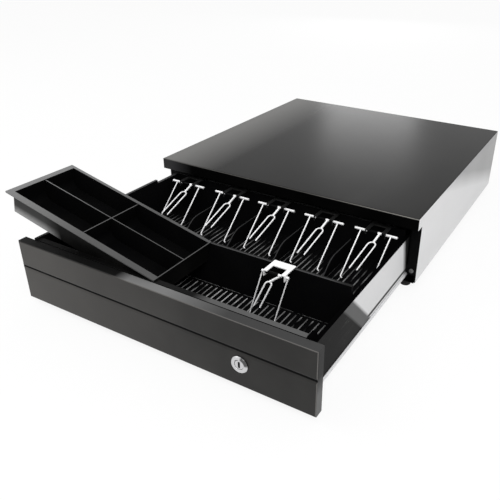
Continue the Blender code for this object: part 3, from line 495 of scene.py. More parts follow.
class TrayPlastic(Finish):
    """Black moulded plastic with painted highlights on the tops of its floor ribs, left out in the lip's
    shade and brighter in the front cell's left part.
    """

    CREST, RISE, FALL = 20.6 * MM, mm(0.0, 0.3), mm(0.8, 0.6)
    STREAK_SCALE, STREAK_DETAIL = 160.0, 2.0
    STREAK_STRETCH, STREAK_SPAN = (1.0, 0.2, 1.0), (0.38, 0.56)
    CLEAR_OF_LIP, IN_FRONT_CELL, ON_LEFT = mm(-18, -42), mm(-148, -156), mm(90, 30)
    BRIGHTER = 2.6

    def base(self, bench: NodeBench) -> object:
        """Lay painted highlights on the rib tops over the black.

        Args:
            bench: The material's tree.

        Returns:
            The base colour.
        """
        origin = case_origin()
        across, along, up = bench.place_parts()
        crest = origin.z + self.CREST
        streaks = bench.noise(self.STREAK_SCALE, self.STREAK_DETAIL, self.STREAK_STRETCH)
        # Painted highlight: the rib tops, broken up by streaks, are lit only clear of the lip's shade.
        share = bench.product(
            bench.ramp(up, *moved(self.RISE, crest)), bench.ramp(up, *moved(self.FALL, crest)),
            bench.ramp(streaks, *self.STREAK_SPAN), bench.ramp(along, *moved(self.CLEAR_OF_LIP, origin.y)))
        # Painted light: the rib highlights are brighter in the front cell's left part.
        bright = bench.product(bench.ramp(across, *moved(self.ON_LEFT, origin.x)),
                               bench.ramp(along, *moved(self.IN_FRONT_CELL, origin.y)))
        ribs = bench.mix(bright, grey(self.edge_grey), grey(self.edge_grey, self.BRIGHTER))
        return bench.mix(share, rgba(self.colour), ribs)


class LockChrome(Finish):
    """Lock chrome with a painted dark reflection in a crescent and painted shade on a ring round the plug,
    round a keyway painted black as shade.
    """

    CRESCENT, CRESCENT_TURN, CRESCENT_SPAN = mm(6.0, 7.0), 0.75, (0.75, 0.50)
    RING_INNER, RING_OUTER, RING_TURN, RING_SPAN = mm(5.1, 5.3), mm(6.5, 6.1), 2.1, (0.55, 0.30)
    KEYWAY_HALF, KEYWAY_REACH, KEYWAY_GREY = mm(1.5, 1.2), mm(4.0, 3.7), 0.004
    DIMMED = 0.14

    def base(self, bench: NodeBench) -> object:
        """Paint the dark reflection, the ring's shade and the keyway's shade round the lock's axis.

        Args:
            bench: The material's tree.

        Returns:
            The base colour.
        """
        low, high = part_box("lock_nut")
        axis = (low + high) / 2
        x, _, z = bench.place_parts()
        across, up = bench.math("SUBTRACT", x, axis.x), bench.math("SUBTRACT", z, axis.z)
        angle = bench.math("ARCTAN2", up, across)
        radius = bench.math("SQRT", bench.math("ADD", bench.product(across, across), bench.product(up, up)))
        crescent = bench.product(bench.ramp(radius, *self.CRESCENT),
                                 bench.ramp(bench.away(angle, self.CRESCENT_TURN), *self.CRESCENT_SPAN))
        ring = bench.product(bench.ramp(radius, *self.RING_INNER), bench.ramp(radius, *self.RING_OUTER),
                             bench.ramp(bench.away(angle, self.RING_TURN), *self.RING_SPAN))
        keyway = bench.product(bench.ramp(bench.math("ABSOLUTE", across), *self.KEYWAY_HALF),
                               bench.ramp(bench.math("ABSOLUTE", up), *self.KEYWAY_REACH))
        # Painted reflection and shade: the crescent and the ring darken the chrome, and the keyway is painted
        # black.
        shade = bench.math("MAXIMUM", crescent, ring)
        tint = bench.mix(shade, rgba(self.colour), rgba(self.colour, self.DIMMED))
        return bench.mix(keyway, tint, grey(self.KEYWAY_GREY))


ALONG, UP, DOWN, FORWARD_DOWN = (0.0, 1.0, 0.0), (0.0, 0.0, 1.0), (0.0, 0.0, -1.0), (0.0, -1.0, -1.0)
ENAMEL = Finish("black_enamel", (0.009, 0.009, 0.0092), 0.24, Grain.FINE_ENAMEL, dust=0.012, specular=0.05)
# Painted highlight: the cover's black enamel is painted lighter grey over the left end of its top.
COVER_PAINTED_HIGHLIGHT = Graded("cover_enamel", (0.132, 0.13, 0.126), 0.24, Grain.FINE_ENAMEL, dust=0.012,
                      specular=0.05, steps=[Step(0.07, -0.190, -0.105)])
# Painted shade and highlight: the lip over the opening is painted near black with little gloss, and lighter
# over its left end.
LIP_SHADE_AND_HIGHLIGHT = Graded("opening_enamel", (0.035, 0.035, 0.036), 0.5, Grain.ENAMEL, dust=0.004,
                    specular=0.01, steps=[Step(0.03, -0.190, -0.150)])
# Painted shade: a darker copy of the black enamel, with less gloss, for the front posts and the front's
# crease.
ENAMEL_PAINTED_SHADE = Finish("post_enamel", (0.002, 0.002, 0.0022), 0.5, Grain.ENAMEL, dust=0.004, specular=0.03)
# Painted highlight: the lip's fold is painted as a grey line that brightens towards its right end.
LIP_HIGHLIGHT = Graded("rubbed_lip_fold", (0.062, 0.06, 0.056), 0.30, Grain.ENAMEL, dust=0.02,
                  specular=0.10, steps=[Step(3.4, 0.04, 0.19)])
# Painted light: the front's face is painted lighter at its left end and darker towards the right; the cloud
# is uneven tone.
FRONT_ENAMEL = Graded("front_enamel", (0.055, 0.052, 0.048), 0.40, Grain.FRONT_ENAMEL, dust=0.03,
                      specular=0.22, cloud_scale=12.0, cloud_reach=0.08, steps=[Step(0.19, -0.240, 0.090)])
# Painted highlight: the front's folds are painted lighter from just left of the middle to the right.
FRONT_EDGE_HIGHLIGHT = Graded("rubbed_front_fold", (0.026, 0.025, 0.024), 0.30, Grain.ENAMEL, dust=0.02,
                    specular=0.06, steps=[Step(4.0, -0.055, -0.030)])
# Painted shade and light: the front's top is black over its left part, with a lit band near the middle and
# dimmer grey to the right.
PANEL_TOP_LIGHT_AND_SHADE = Graded("front_top_enamel", (0.006, 0.006, 0.006), 0.40, Grain.ENAMEL, dust=0.004,
                   specular=0.03, steps=[Step(27.0, -0.048, -0.030), Step(7.8, 0.020, 0.100)])
# Painted light: the front's side flanges are painted lighter low down and dark above.
FLANGE_PAINTED_LIGHT = Graded("front_flange_enamel", (0.12, 0.12, 0.12), 0.40, Grain.ENAMEL, dust=0.02,
                       specular=0.03, steps=[Step(0.22, 0.024, 0.046, UP)])
# Painted reflection: the case's gloss black sides are painted pale as the bright surroundings they mirror,
# with painted shade over their upper back; the rubbed lines are wear.
SIDE_PAINTED_REFLECTION = Graded("side_satin_sheet", (0.66, 0.66, 0.665), 0.42, Grain.SHEET, dust=0.04, rub=0.15,
                    edge_grey=0.8, cloud_reach=0.03, steps=[Step(0.45, 0.430, 0.520, (0.0, 1.0, 3.4))])
# Painted shade and reflection on the tub's pale satin sheet: a shadow line just above the runner strip, a
# front end darkened in two slanted steps, and a rear end darkened next to the case's opening.
TUB_SHEET_PAINTED_SHADE = Graded(
    "drawer_satin_sheet", (0.645, 0.645, 0.65), 0.36, Grain.SHEET, dust=0.02, specular=0.012,
    rounding=0.0006, rub=0.15, edge_grey=0.5,
    steps=[Step(0.075, -0.0179, -0.0169, DOWN), Step(1.0, -0.0134, -0.0124, DOWN),
           Step(0.174, 0.088, 0.094, FORWARD_DOWN), Step(0.0116, 0.112, 0.117, FORWARD_DOWN),
           Step(0.02, 0.0108, 0.0222, (0.0, 1.0, 0.2725))])
# Painted highlight: the tops of the floor ribs are painted in the last grey given here.
TRAY_PLASTIC = TrayPlastic("moulded_tray_plastic", (0.003, 0.003, 0.0033), 0.45, Grain.MOULDED, dust=0.004,
                           specular=0.012, rounding=0.0005, edge_grey=0.19)
# Painted highlight: the dividers' tops and front edges are painted lighter than their black sides.
DIVIDER_HIGHLIGHT = Finish("divider_edge_plastic", (0.030, 0.030, 0.031), 0.40, Grain.MOULDED, dust=0.02,
                      specular=0.06)
# Painted shade: the note tray's right rim is painted blacker than the tray, with no gloss.
RIGHT_RIM_PAINTED_SHADE = Finish("shaded_tray_plastic", (0.0015, 0.0015, 0.0016), 0.5, Grain.MOULDED, dust=0.0,
                        specular=0.0)
# Painted light: the note tray's black front rim is painted lit grey towards its right end.
FRONT_RIM_PAINTED_LIGHT = Graded("tray_rim_plastic", (0.003, 0.003, 0.003), 0.36, Grain.MOULDED, dust=0.01, specular=0.03,
                  rounding=0.0005, edge=0.1, edge_grey=0.14, steps=[Step(30.0, 0.050, 0.072)])
# Painted highlight: a light line along the tops of the left and rear rims and the partition, painted dark
# over a narrow band 147 to 150 mm in front of the case and towards the right end.
OUTER_RIMS_HIGHLIGHT = Graded("rear_rim_plastic", (0.042, 0.042, 0.043), 0.40, Grain.MOULDED, dust=0.02, specular=0.06,
                  steps=[Step(0.10, -0.1502, -0.1494, ALONG), Step(1.0, -0.1470, -0.1460, ALONG),
                         Step(0.06, 0.160, 0.176)])
COIN_PLASTIC = Finish("moulded_coin_plastic", (0.0025, 0.0025, 0.0027), 0.36, Grain.COIN_TRAY, dust=0.003,
                      specular=0.03)
# Painted light: the coin tray's rim is painted lighter at its left end, falling to a third of that tone from
# 100 mm left of the middle on.
COIN_TRAY_RIM_LIGHT = Graded("coin_rim_plastic", (0.17, 0.17, 0.171), 0.36, Grain.MOULDED, dust=0.06, specular=0.25,
                  steps=[Step(0.33, -0.226, -0.100)])
# Painted shade: the basket's outside is painted darker over its upper part, under the rim, and at its left
# end.
BASKET_PAINTED_SHADE = Graded("coin_basket_plastic", (0.26, 0.26, 0.26), 0.30, Grain.COIN_TRAY, dust=0.02,
                     specular=0.03, cloud_reach=0.004,
                     steps=[Step(0.16, 0.053, 0.062, (0.232, 0.0, 1.0)), Step(0.008, -0.175, -0.150)])
WIRE = Finish("bright_clip_wire", (0.90, 0.90, 0.91), 0.30, Grain.WIRE, dust=0.03, metallic=0.15)
# Painted shade: a dark copy of the bracket plate for the rear clips' brackets, which sit in the lip's shade.
BRACKET_PAINTED_SHADE = Finish("dulled_bracket_plate", (0.014, 0.014, 0.014), 0.45, Grain.PLATE, dust=0.01,
                      metallic=0.5, edge=0.25, edge_grey=0.12, edge_width=0.0004)
# Painted reflection and shade on the lock: a dark crescent, a dark ring round the plug and a black keyway.
CHROME = LockChrome("lock_chrome", (0.62, 0.62, 0.63), 0.22, Grain.CHROME, metallic=1.0, rub=0.2, edge=0.4,
                    edge_grey=0.9)
# Painted shade: near black with no gloss behind the plug's face, in the keyway and round the plug.
SLOT_PAINTED_SHADE = Finish("key_slot", (0.002, 0.002, 0.002), 0.6, dust=0.0, specular=0.02)
ZINC = Finish("zinc_plated_steel", (0.52, 0.53, 0.54), 0.34, Grain.ZINC, dust=0.08, metallic=1.0,
              rounding=0.0003, rub=0.4, edge=0.3, edge_grey=0.7)
# Painted shade: the zinc base plate is painted black over its front 40 to 90 mm, where the opening shades it.
ZINC_PAINTED_FRONT_SHADE = Graded("base_zinc", (0.0035, 0.0035, 0.0035), 0.34, Grain.ZINC, dust=0.004, metallic=1.0,
                   rounding=0.0003, steps=[Step(150.0, 0.04, 0.09, ALONG)])
RUNNER_STRIP = Finish("runner_strip_steel", (0.66, 0.66, 0.67), 0.40, Grain.SHEET, dust=0.02, specular=0.05)
# Painted shade: a darker, duller copy of the zinc for the guide screws, which sit in shade by the posts.
SCREW_PAINTED_SHADE = Finish("dulled_screw_zinc", (0.10, 0.10, 0.10), 0.42, Grain.ZINC, metallic=0.6, rounding=0.0003)
RUBBER = Finish("foot_rubber", (0.006, 0.006, 0.006), 0.75, Grain.RUBBER, dust=0.04, specular=0.2)
NYLON = Finish("plunger_nylon", (0.62, 0.61, 0.57), 0.45, Grain.NYLON, rounding=0.0005)
# Painted shade: a near black copy of the nylon for the guide blocks, which sit in shade by the posts.
GUIDE_PAINTED_SHADE = Finish("guide_block_nylon", (0.016, 0.016, 0.016), 0.42, Grain.NYLON, dust=0.01,
                     specular=0.2, rounding=0.0005)
TAPE = Finish("coil_tape", (0.42, 0.28, 0.05), 0.45, Grain.TAPE, dust=0.06)
LEAD = Finish("lead_insulation", (0.03, 0.03, 0.03), 0.45, Grain.LEAD)


# Modelling bench


def clear_selection() -> None:
    """Leave edit mode and deselect everything."""
    if bpy.context.object is not None and bpy.context.object.mode != "OBJECT":
        bpy.ops.object.mode_set(mode="OBJECT")
    bpy.ops.object.select_all(action="DESELECT")


class Workpiece:
    """A mesh on the bench, in edit mode, whose parts are picked by their place and then shaped."""

    MERGE, FLAT = 0.005 * MM, math.radians(0.5)

    def __init__(self, name: str) -> None:
        """Take the active object to the bench.

        Args:
            name: The piece's name.
        """
        self.thing = bpy.context.object
        self.thing.name = name
        self.thing.data.name = name
        bpy.ops.object.transform_apply(location=True, rotation=True, scale=True)
        bpy.ops.object.mode_set(mode="EDIT")

    @classmethod
    def cube(cls, name: str, low: Point, high: Point) -> Workpiece:
        """Start from a cube at its size and place.

        Args:
            name: The piece's name.
            low: Its lowest corner.
            high: Its highest corner.

        Returns:
            The workpiece.
        """
        clear_selection()
        middle = [(near + far) / 2 for near, far in zip(low, high)]
        bpy.ops.mesh.primitive_cube_add(size=1, location=middle)
        bpy.context.object.scale = [far - near for near, far in zip(low, high)]
        return cls(name)

    @classmethod
    def rod(cls, name: str, radius: float, left: Vector, length: float, sides: int) -> Workpiece:
        """Start from a cylinder along X.

        Args:
            name: The piece's name.
            radius: Its radius.
            left: The middle of its left end.
            length: Its length.
            sides: How many sides it has.

        Returns:
            The workpiece.
        """
        clear_selection()
        bpy.ops.mesh.primitive_cylinder_add(vertices=sides, radius=radius, depth=length,
                                            location=left + Vector((length / 2, 0, 0)),
                                            rotation=(0, math.pi / 2, 0))
        return cls(name)

    @classmethod
    def node_copy(cls, name: str, node: str) -> Workpiece:
        """Start from a copy of a CAD node's mesh, merged and with its flat faces whole.

        Args:
            name: The piece's name.
            node: The CAD node.

        Returns:
            The workpiece.
        """
        clear_selection()
        copy = bpy.data.objects.new(name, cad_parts[node].data.copy())
        bpy.context.scene.collection.objects.link(copy)
        copy.data.materials.clear()
        bpy.context.view_layer.objects.active = copy
        copy.select_set(True)
        piece = cls(name)
        bpy.ops.mesh.select_all(action="SELECT")
        bpy.ops.mesh.remove_doubles(threshold=cls.MERGE)
        bpy.ops.mesh.dissolve_limited(angle_limit=cls.FLAT)
        return piece

    def pick_faces(self, test: Callable[[Vector, Vector], bool]) -> None:
        """Select the faces whose middle and normal pass a test."""
        self._pick(Part.FACES, lambda face: test(face.calc_center_median(), face.normal))

    def pick_edges(self, test: Callable[[Vector, Vector], bool]) -> None:
        """Select the edges whose two ends pass a test."""
        self._pick(Part.EDGES, lambda edge: test(edge.verts[0].co, edge.verts[1].co))

    def pick_points(self, test: Callable[[Vector], bool]) -> None:
        """Select the points whose place passes a test."""
        self._pick(Part.POINTS, lambda point: test(point.co))

    def _pick(self, part: Part, test: Callable[[object], bool]) -> None:
        """Deselect all, and select what passes a test.

        Args:
            part: What is picked.
            test: Takes one face, edge or point.
        """
        bpy.ops.mesh.select_mode(type=part.value)
        mesh = bmesh.from_edit_mesh(self.thing.data)
        if part is Part.FACES:
            mesh.normal_update()
        parts = {Part.FACES: mesh.faces, Part.EDGES: mesh.edges, Part.POINTS: mesh.verts}[part]
        chosen = [each for each in parts if test(each)]
        bpy.ops.mesh.select_all(action="DESELECT")
        for each in chosen:
            each.select_set(True)
        bmesh.update_edit_mesh(self.thing.data)

    def extrude(self, step: Point) -> None:
        """Extrude what is selected and move it by a step."""
        bpy.ops.mesh.extrude_region_move(TRANSFORM_OT_translate={"value": tuple(step)})

    def move(self, step: Point) -> None:
        """Move what is selected by a step."""
        bpy.ops.transform.translate(value=tuple(step))

    def level(self, height: float) -> None:
        """Bring all that is selected to one height."""
        bpy.ops.transform.resize(value=(1, 1, 0), center_override=(0, 0, height))

    def remove(self) -> None:
        """Delete the selected faces."""
        bpy.ops.mesh.delete(type="FACE")

    def inset(self, width: float) -> None:
        """Inset the selected faces by a width."""
        bpy.ops.mesh.inset(thickness=width)

    def bevel(self, radius: float, segments: int) -> None:
        """Round the selected edges to a radius in some segments."""
        bpy.ops.mesh.bevel(offset=radius, segments=segments, affect="EDGES", clamp_overlap=True)

    def cut_all(self, axis: Axis, *places: float) -> None:
        """Cut the whole mesh across an axis.

        Args:
            axis: The axis.
            places: Where it is cut along the axis.
        """
        for place in places:
            bpy.ops.mesh.select_mode(type=Part.FACES.value)
            bpy.ops.mesh.select_all(action="SELECT")
            bpy.ops.mesh.bisect(plane_co=axis.vector * place, plane_no=axis.vector)

    def turn_all(self, angle: float, axis: Axis) -> None:
        """Turn the whole mesh about an axis through the origin, by the right-hand rule."""
        bpy.ops.mesh.select_all(action="SELECT")
        bpy.ops.transform.rotate(value=-angle, orient_axis=axis.name, center_override=(0, 0, 0))

    def face_out(self) -> None:
        """Turn all faces outwards."""
        bpy.ops.mesh.select_all(action="SELECT")
        bpy.ops.mesh.normals_make_consistent(inside=False)

    def modify(self, kind: str, **settings: object) -> None:
        """Add a modifier and apply it.

        Args:
            kind: The modifier's type.
            settings: Its settings.
        """
        bpy.ops.object.mode_set(mode="OBJECT")
        modifier = self.thing.modifiers.new(kind.lower(), kind)
        for key, value in settings.items():
            setattr(modifier, key, value)
        bpy.ops.object.modifier_apply(modifier=modifier.name)
        bpy.ops.object.mode_set(mode="EDIT")

    def thicken(self, sheet: float) -> None:
        """Give a folded skin the thickness of its sheet, on its inner side."""
        self.face_out()
        self.modify("SOLIDIFY", thickness=sheet, offset=-1.0, use_even_offset=True)

    def soften(self, width: float, angle: float = 35.0) -> None:
        """Round all edges sharper than an angle in degrees by a small width."""
        self.modify("BEVEL", width=width, segments=SOFT_STEPS, limit_method="ANGLE",
                    angle_limit=math.radians(angle), harden_normals=False)

    def take_in(self, others: Iterable[Workpiece]) -> None:
        """Join other workpieces into this one.

        Args:
            others: The workpieces to join.
        """
        clear_selection()
        for piece in (*others, self):
            piece.thing.select_set(True)
        bpy.context.view_layer.objects.active = self.thing
        bpy.ops.object.join()
        bpy.ops.object.mode_set(mode="EDIT")

    def finish(self, body: Body, nodes: Sequence[str], finishes: Sequence[Finish], smooth: float = 35.0,
               choose: Chooser | None = None, slot: str = "") -> bpy.types.Object:
        """Shade the piece, give it its finishes and set it in the frame.

        Args:
            body: The body that it rides on.
            nodes: The CAD nodes that it replaces.
            finishes: Its finishes, in slot order.
            smooth: The angle up to which edges are shaded smooth, in degrees.
            choose: Takes a face's middle and normal, and returns its slot.
            slot: The record's material slot, where it isn't the first node's own; not used.

        Returns:
            The finished object.
        """
        self.face_out()
        clear_selection()
        self.thing.select_set(True)
        bpy.context.view_layer.objects.active = self.thing
        bpy.ops.object.shade_smooth_by_angle(angle=math.radians(smooth))
        weighted = self.thing.modifiers.new("weighted", "WEIGHTED_NORMAL")
        weighted.keep_sharp = True
        bpy.ops.object.modifier_apply(modifier=weighted.name)
        self.thing.data.materials.clear()
        for each in finishes:
            self.thing.data.materials.append(each.build())
        if choose is not None:
            for face in self.thing.data.polygons:
                face.material_index = choose(Vector(face.center), Vector(face.normal))
        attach(self.thing, body.value)
        if nodes:
            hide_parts(*nodes)
        LOG.info("made %s: %d faces", self.thing.name, len(self.thing.data.polygons))
        return self.thing


def bent_wire(name: str, points: Sequence[Vector], radius: float, bend: float = 0.0) -> Workpiece:
    """Bend a round wire along some points.

    Args:
        name: The wire's name.
        points: The corners of its route.
        radius: The wire's radius.
        bend: The radius of each bend.

    Returns:
        The wire as a workpiece.
    """
    clear_selection()
    bpy.ops.mesh.primitive_plane_add(size=MM, location=points[0])
    route = Workpiece(name)
    bpy.ops.mesh.select_mode(type=Part.POINTS.value)
    bpy.ops.mesh.select_all(action="SELECT")
    bpy.ops.mesh.merge(type="CENTER")
    for last, following in zip(points, points[1:]):
        route.extrude(following - last)
    if bend:
        route.pick_points(lambda co: any((co - corner).length < NEAR / 2 for corner in points[1:-1]))
        bpy.ops.mesh.bevel(offset=bend, segments=BEND_STEPS, affect="VERTICES", clamp_overlap=True)
    clear_selection()
    route.thing.select_set(True)
    bpy.context.view_layer.objects.active = route.thing
    bpy.ops.object.convert(target="CURVE")
    curve = bpy.context.object.data
    curve.bevel_depth, curve.bevel_resolution, curve.use_fill_caps = radius, ROUND_STEPS, True
    bpy.ops.object.convert(target="MESH")
    bpy.ops.object.mode_set(mode="EDIT")
    bpy.ops.mesh.select_all(action="SELECT")
    bpy.ops.mesh.remove_doubles(threshold=NEAR / 10)
    route.thing = bpy.context.object
    return route


# Pieces


@dataclass
class CaseCover:
    """The cover, folded from one sheet, with its downturned lip over the opening."""

    lip: float = 16 * MM
    set_back: float = 15 * MM
    sheet: float = 1.2 * MM
    fold: float = 1.7 * MM
    fold_steps: int = 5
    flank: float = 100 * MM
    edge: float = 0.25 * MM
    side_turn: float = 0.8
    fold_turn: Span = (0.25, 0.85)

    def build(self) -> None:
        """Fold the cover."""
        low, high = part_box("case_cover")
        piece = Workpiece.cube("cover", low, high)
        piece.pick_faces(lambda middle, normal: abs(normal.z) > FACING and middle.z < low.z + MM
                         or normal.y > FACING)
        piece.remove()
        lip_end, side_start = high.z - self.lip, low.y + self.set_back
        piece.cut_all(Axis.Z, lip_end)
        piece.cut_all(Axis.Y, side_start)
        piece.pick_faces(lambda middle, normal: middle.z < lip_end and middle.y < side_start)
        piece.remove()
        top, front = high.z - NEAR, low.y + NEAR
        piece.pick_edges(lambda a, b: min(a.z, b.z) > top and (
            abs(a.x - b.x) > MM and max(a.y, b.y) < low.y + MM
            or abs(a.y - b.y) > MM and abs(a.x) > self.flank and abs(a.x - b.x) < MM))
        piece.bevel(self.fold, self.fold_steps)
        piece.pick_edges(lambda a, b: max(a.y, b.y) < front and abs(a.z - b.z) > MM
                         and min(abs(a.x), abs(b.x)) > self.flank)
        piece.bevel(self.fold / 2, self.fold_steps)
        piece.thicken(self.sheet)
        piece.soften(self.edge, SHARP)
        middle_x, half = (low.x + high.x) / 2, (high.x - low.x) / 2

        def slot(middle: Vector, normal: Vector) -> int:
            """Tell the outside of the sides, the lip and its fold from the rest.

            Args:
                middle: A face's middle.
                normal: Its normal.

            Returns:
                1 on the sides, 2 on the lip, 3 on its fold and 0 elsewhere.
            """
            if abs(middle.x - middle_x) > half - self.sheet / 2 and abs(normal.x) > self.side_turn:
                return 1
            if middle.y < low.y + self.fold and middle.z > high.z - self.fold:
                if self.fold_turn[0] < normal.z < self.fold_turn[1]:
                    return 3
                return 2 if normal.z < self.fold_turn[1] else 0
            return 2 if middle.z < high.z - self.sheet / 2 else 0

        # The sides get a painted reflection, the lip painted shade, and the top and the lip's fold painted
        # highlights.
        piece.finish(Body.CASE, ["case_cover"], [COVER_PAINTED_HIGHLIGHT, SIDE_PAINTED_REFLECTION, LIP_SHADE_AND_HIGHLIGHT, LIP_HIGHLIGHT], choose=slot)


@dataclass
class FrontPanel:
    """The drawer's front, a shallow folded tray with a crease pressed along it."""

    sheet: float = 1.2 * MM
    fold: float = 1.7 * MM
    fold_steps: int = 5
    fold_turn: float = 0.75
    seat_gap: float = 0.3 * MM
    crease_height: float = 46 * MM
    crease_half: float = 3.2 * MM
    crease_depth: float = 0.8 * MM
    crease_turn: float = 0.5
    shade_half: float = 1.3 * MM
    hole_radius: float = 8.4 * MM
    hole_frame: float = 12 * MM
    hole_inset: float = 0.5 * MM
    hole_side_steps: int = 12
    edge: float = 0.2 * MM

    def build(self) -> None:
        """Fold the panel, press its crease and punch the lock's hole."""
        low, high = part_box("front_panel")
        nut_low, nut_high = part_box("lock_nut")
        lock = (nut_low + nut_high) / 2
        lock.y = low.y
        crease, front = low.z + self.crease_height, low.y + NEAR
        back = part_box("drawer_tub")[0].y - self.seat_gap
        piece = Workpiece.cube("drawer_front", low, (high.x, back, high.z))
        piece.pick_faces(lambda middle, normal: normal.y > FACING)
        piece.remove()
        piece.cut_all(Axis.Z, crease - self.crease_half, crease - self.shade_half, crease,
                      crease + self.shade_half, crease + self.crease_half)
        piece.cut_all(Axis.X, lock.x - self.hole_frame, lock.x + self.hole_frame)
        piece.cut_all(Axis.Z, lock.z - self.hole_frame, lock.z + self.hole_frame)
        self._punch(piece, lock, front)
        flank = 1 - self.shade_half / self.crease_half
        for height, share in ((-self.shade_half, flank), (0.0, 1.0), (self.shade_half, flank)):
            piece.pick_edges(lambda a, b: max(abs(a.z - crease - height), abs(b.z - crease - height)) < NEAR
                             and max(a.y, b.y) < front)
            piece.move((0, self.crease_depth * share, 0))
        piece.pick_edges(lambda a, b: max(a.y, b.y) < front and (
            min(a.z, b.z) > high.z - NEAR or max(a.z, b.z) < low.z + NEAR
            or min(a.x, b.x) > high.x - NEAR or max(a.x, b.x) < low.x + NEAR))
        piece.bevel(self.fold, self.fold_steps)
        piece.thicken(self.sheet)
        piece.soften(self.edge, SHARP)

        def slot(middle: Vector, normal: Vector) -> int:
            """Tell the folds, the crease, the top and the flanges from the face.

            Args:
                middle: A face's middle.
                normal: Its normal.

            Returns:
                1 on the folds, 2 in the crease, 3 on the top, 4 on the flanges and 0 elsewhere.
            """
            across, up = abs(normal.x), abs(normal.z)
            if abs(middle.z - crease) < self.shade_half and middle.y < low.y + self.fold and (
                    normal.y < -self.crease_turn):
                return 2
            if max(across, up) > self.fold_turn:
                return 3 if up > across else 4
            return 1 if max(across, up) > 1 - self.fold_turn else 0

        # The face is painted lighter to the left, the crease in painted shade, and the folds, the top and the
        # flanges in painted light and shade.
        piece.finish(Body.DRAWER, ["front_panel"],
                     [FRONT_ENAMEL, FRONT_EDGE_HIGHLIGHT, ENAMEL_PAINTED_SHADE, PANEL_TOP_LIGHT_AND_SHADE, FLANGE_PAINTED_LIGHT], choose=slot)

    def _punch(self, piece: Workpiece, lock: Vector, front: float) -> None:
        """Open the face round the lock and bridge the opening to a round hole.

        Args:
            piece: The panel.
            lock: The hole's middle.
            front: Where the face ends along Y.
        """
        def reach(place: Vector) -> float:
            """Return how far a place lies from the hole's middle, across or up."""
            return max(abs(place.x - lock.x), abs(place.z - lock.z))

        rim = self.hole_frame - self.hole_inset / 2
        piece.pick_faces(lambda middle, normal: middle.y < front and reach(middle) < self.hole_frame)
        piece.inset(self.hole_inset)
        piece.pick_faces(lambda middle, normal: middle.y < front
                         and (middle - lock).length < self.hole_frame / 4)
        piece.remove()
        piece.pick_edges(lambda a, b: all(co.y < front and reach(co) < rim for co in (a, b)))
        bpy.ops.mesh.subdivide(number_cuts=self.hole_side_steps - 1)
        clear_selection()
        bpy.ops.mesh.primitive_circle_add(vertices=4 * self.hole_side_steps, radius=self.hole_radius,
                                          location=lock, rotation=(math.pi / 2, math.pi / 4, 0))
        piece.take_in([Workpiece("lock_hole")])
        piece.pick_edges(lambda a, b: all(abs(co.y - lock.y) < NEAR and reach(co) < rim for co in (a, b)))
        bpy.ops.mesh.bridge_edge_loops()


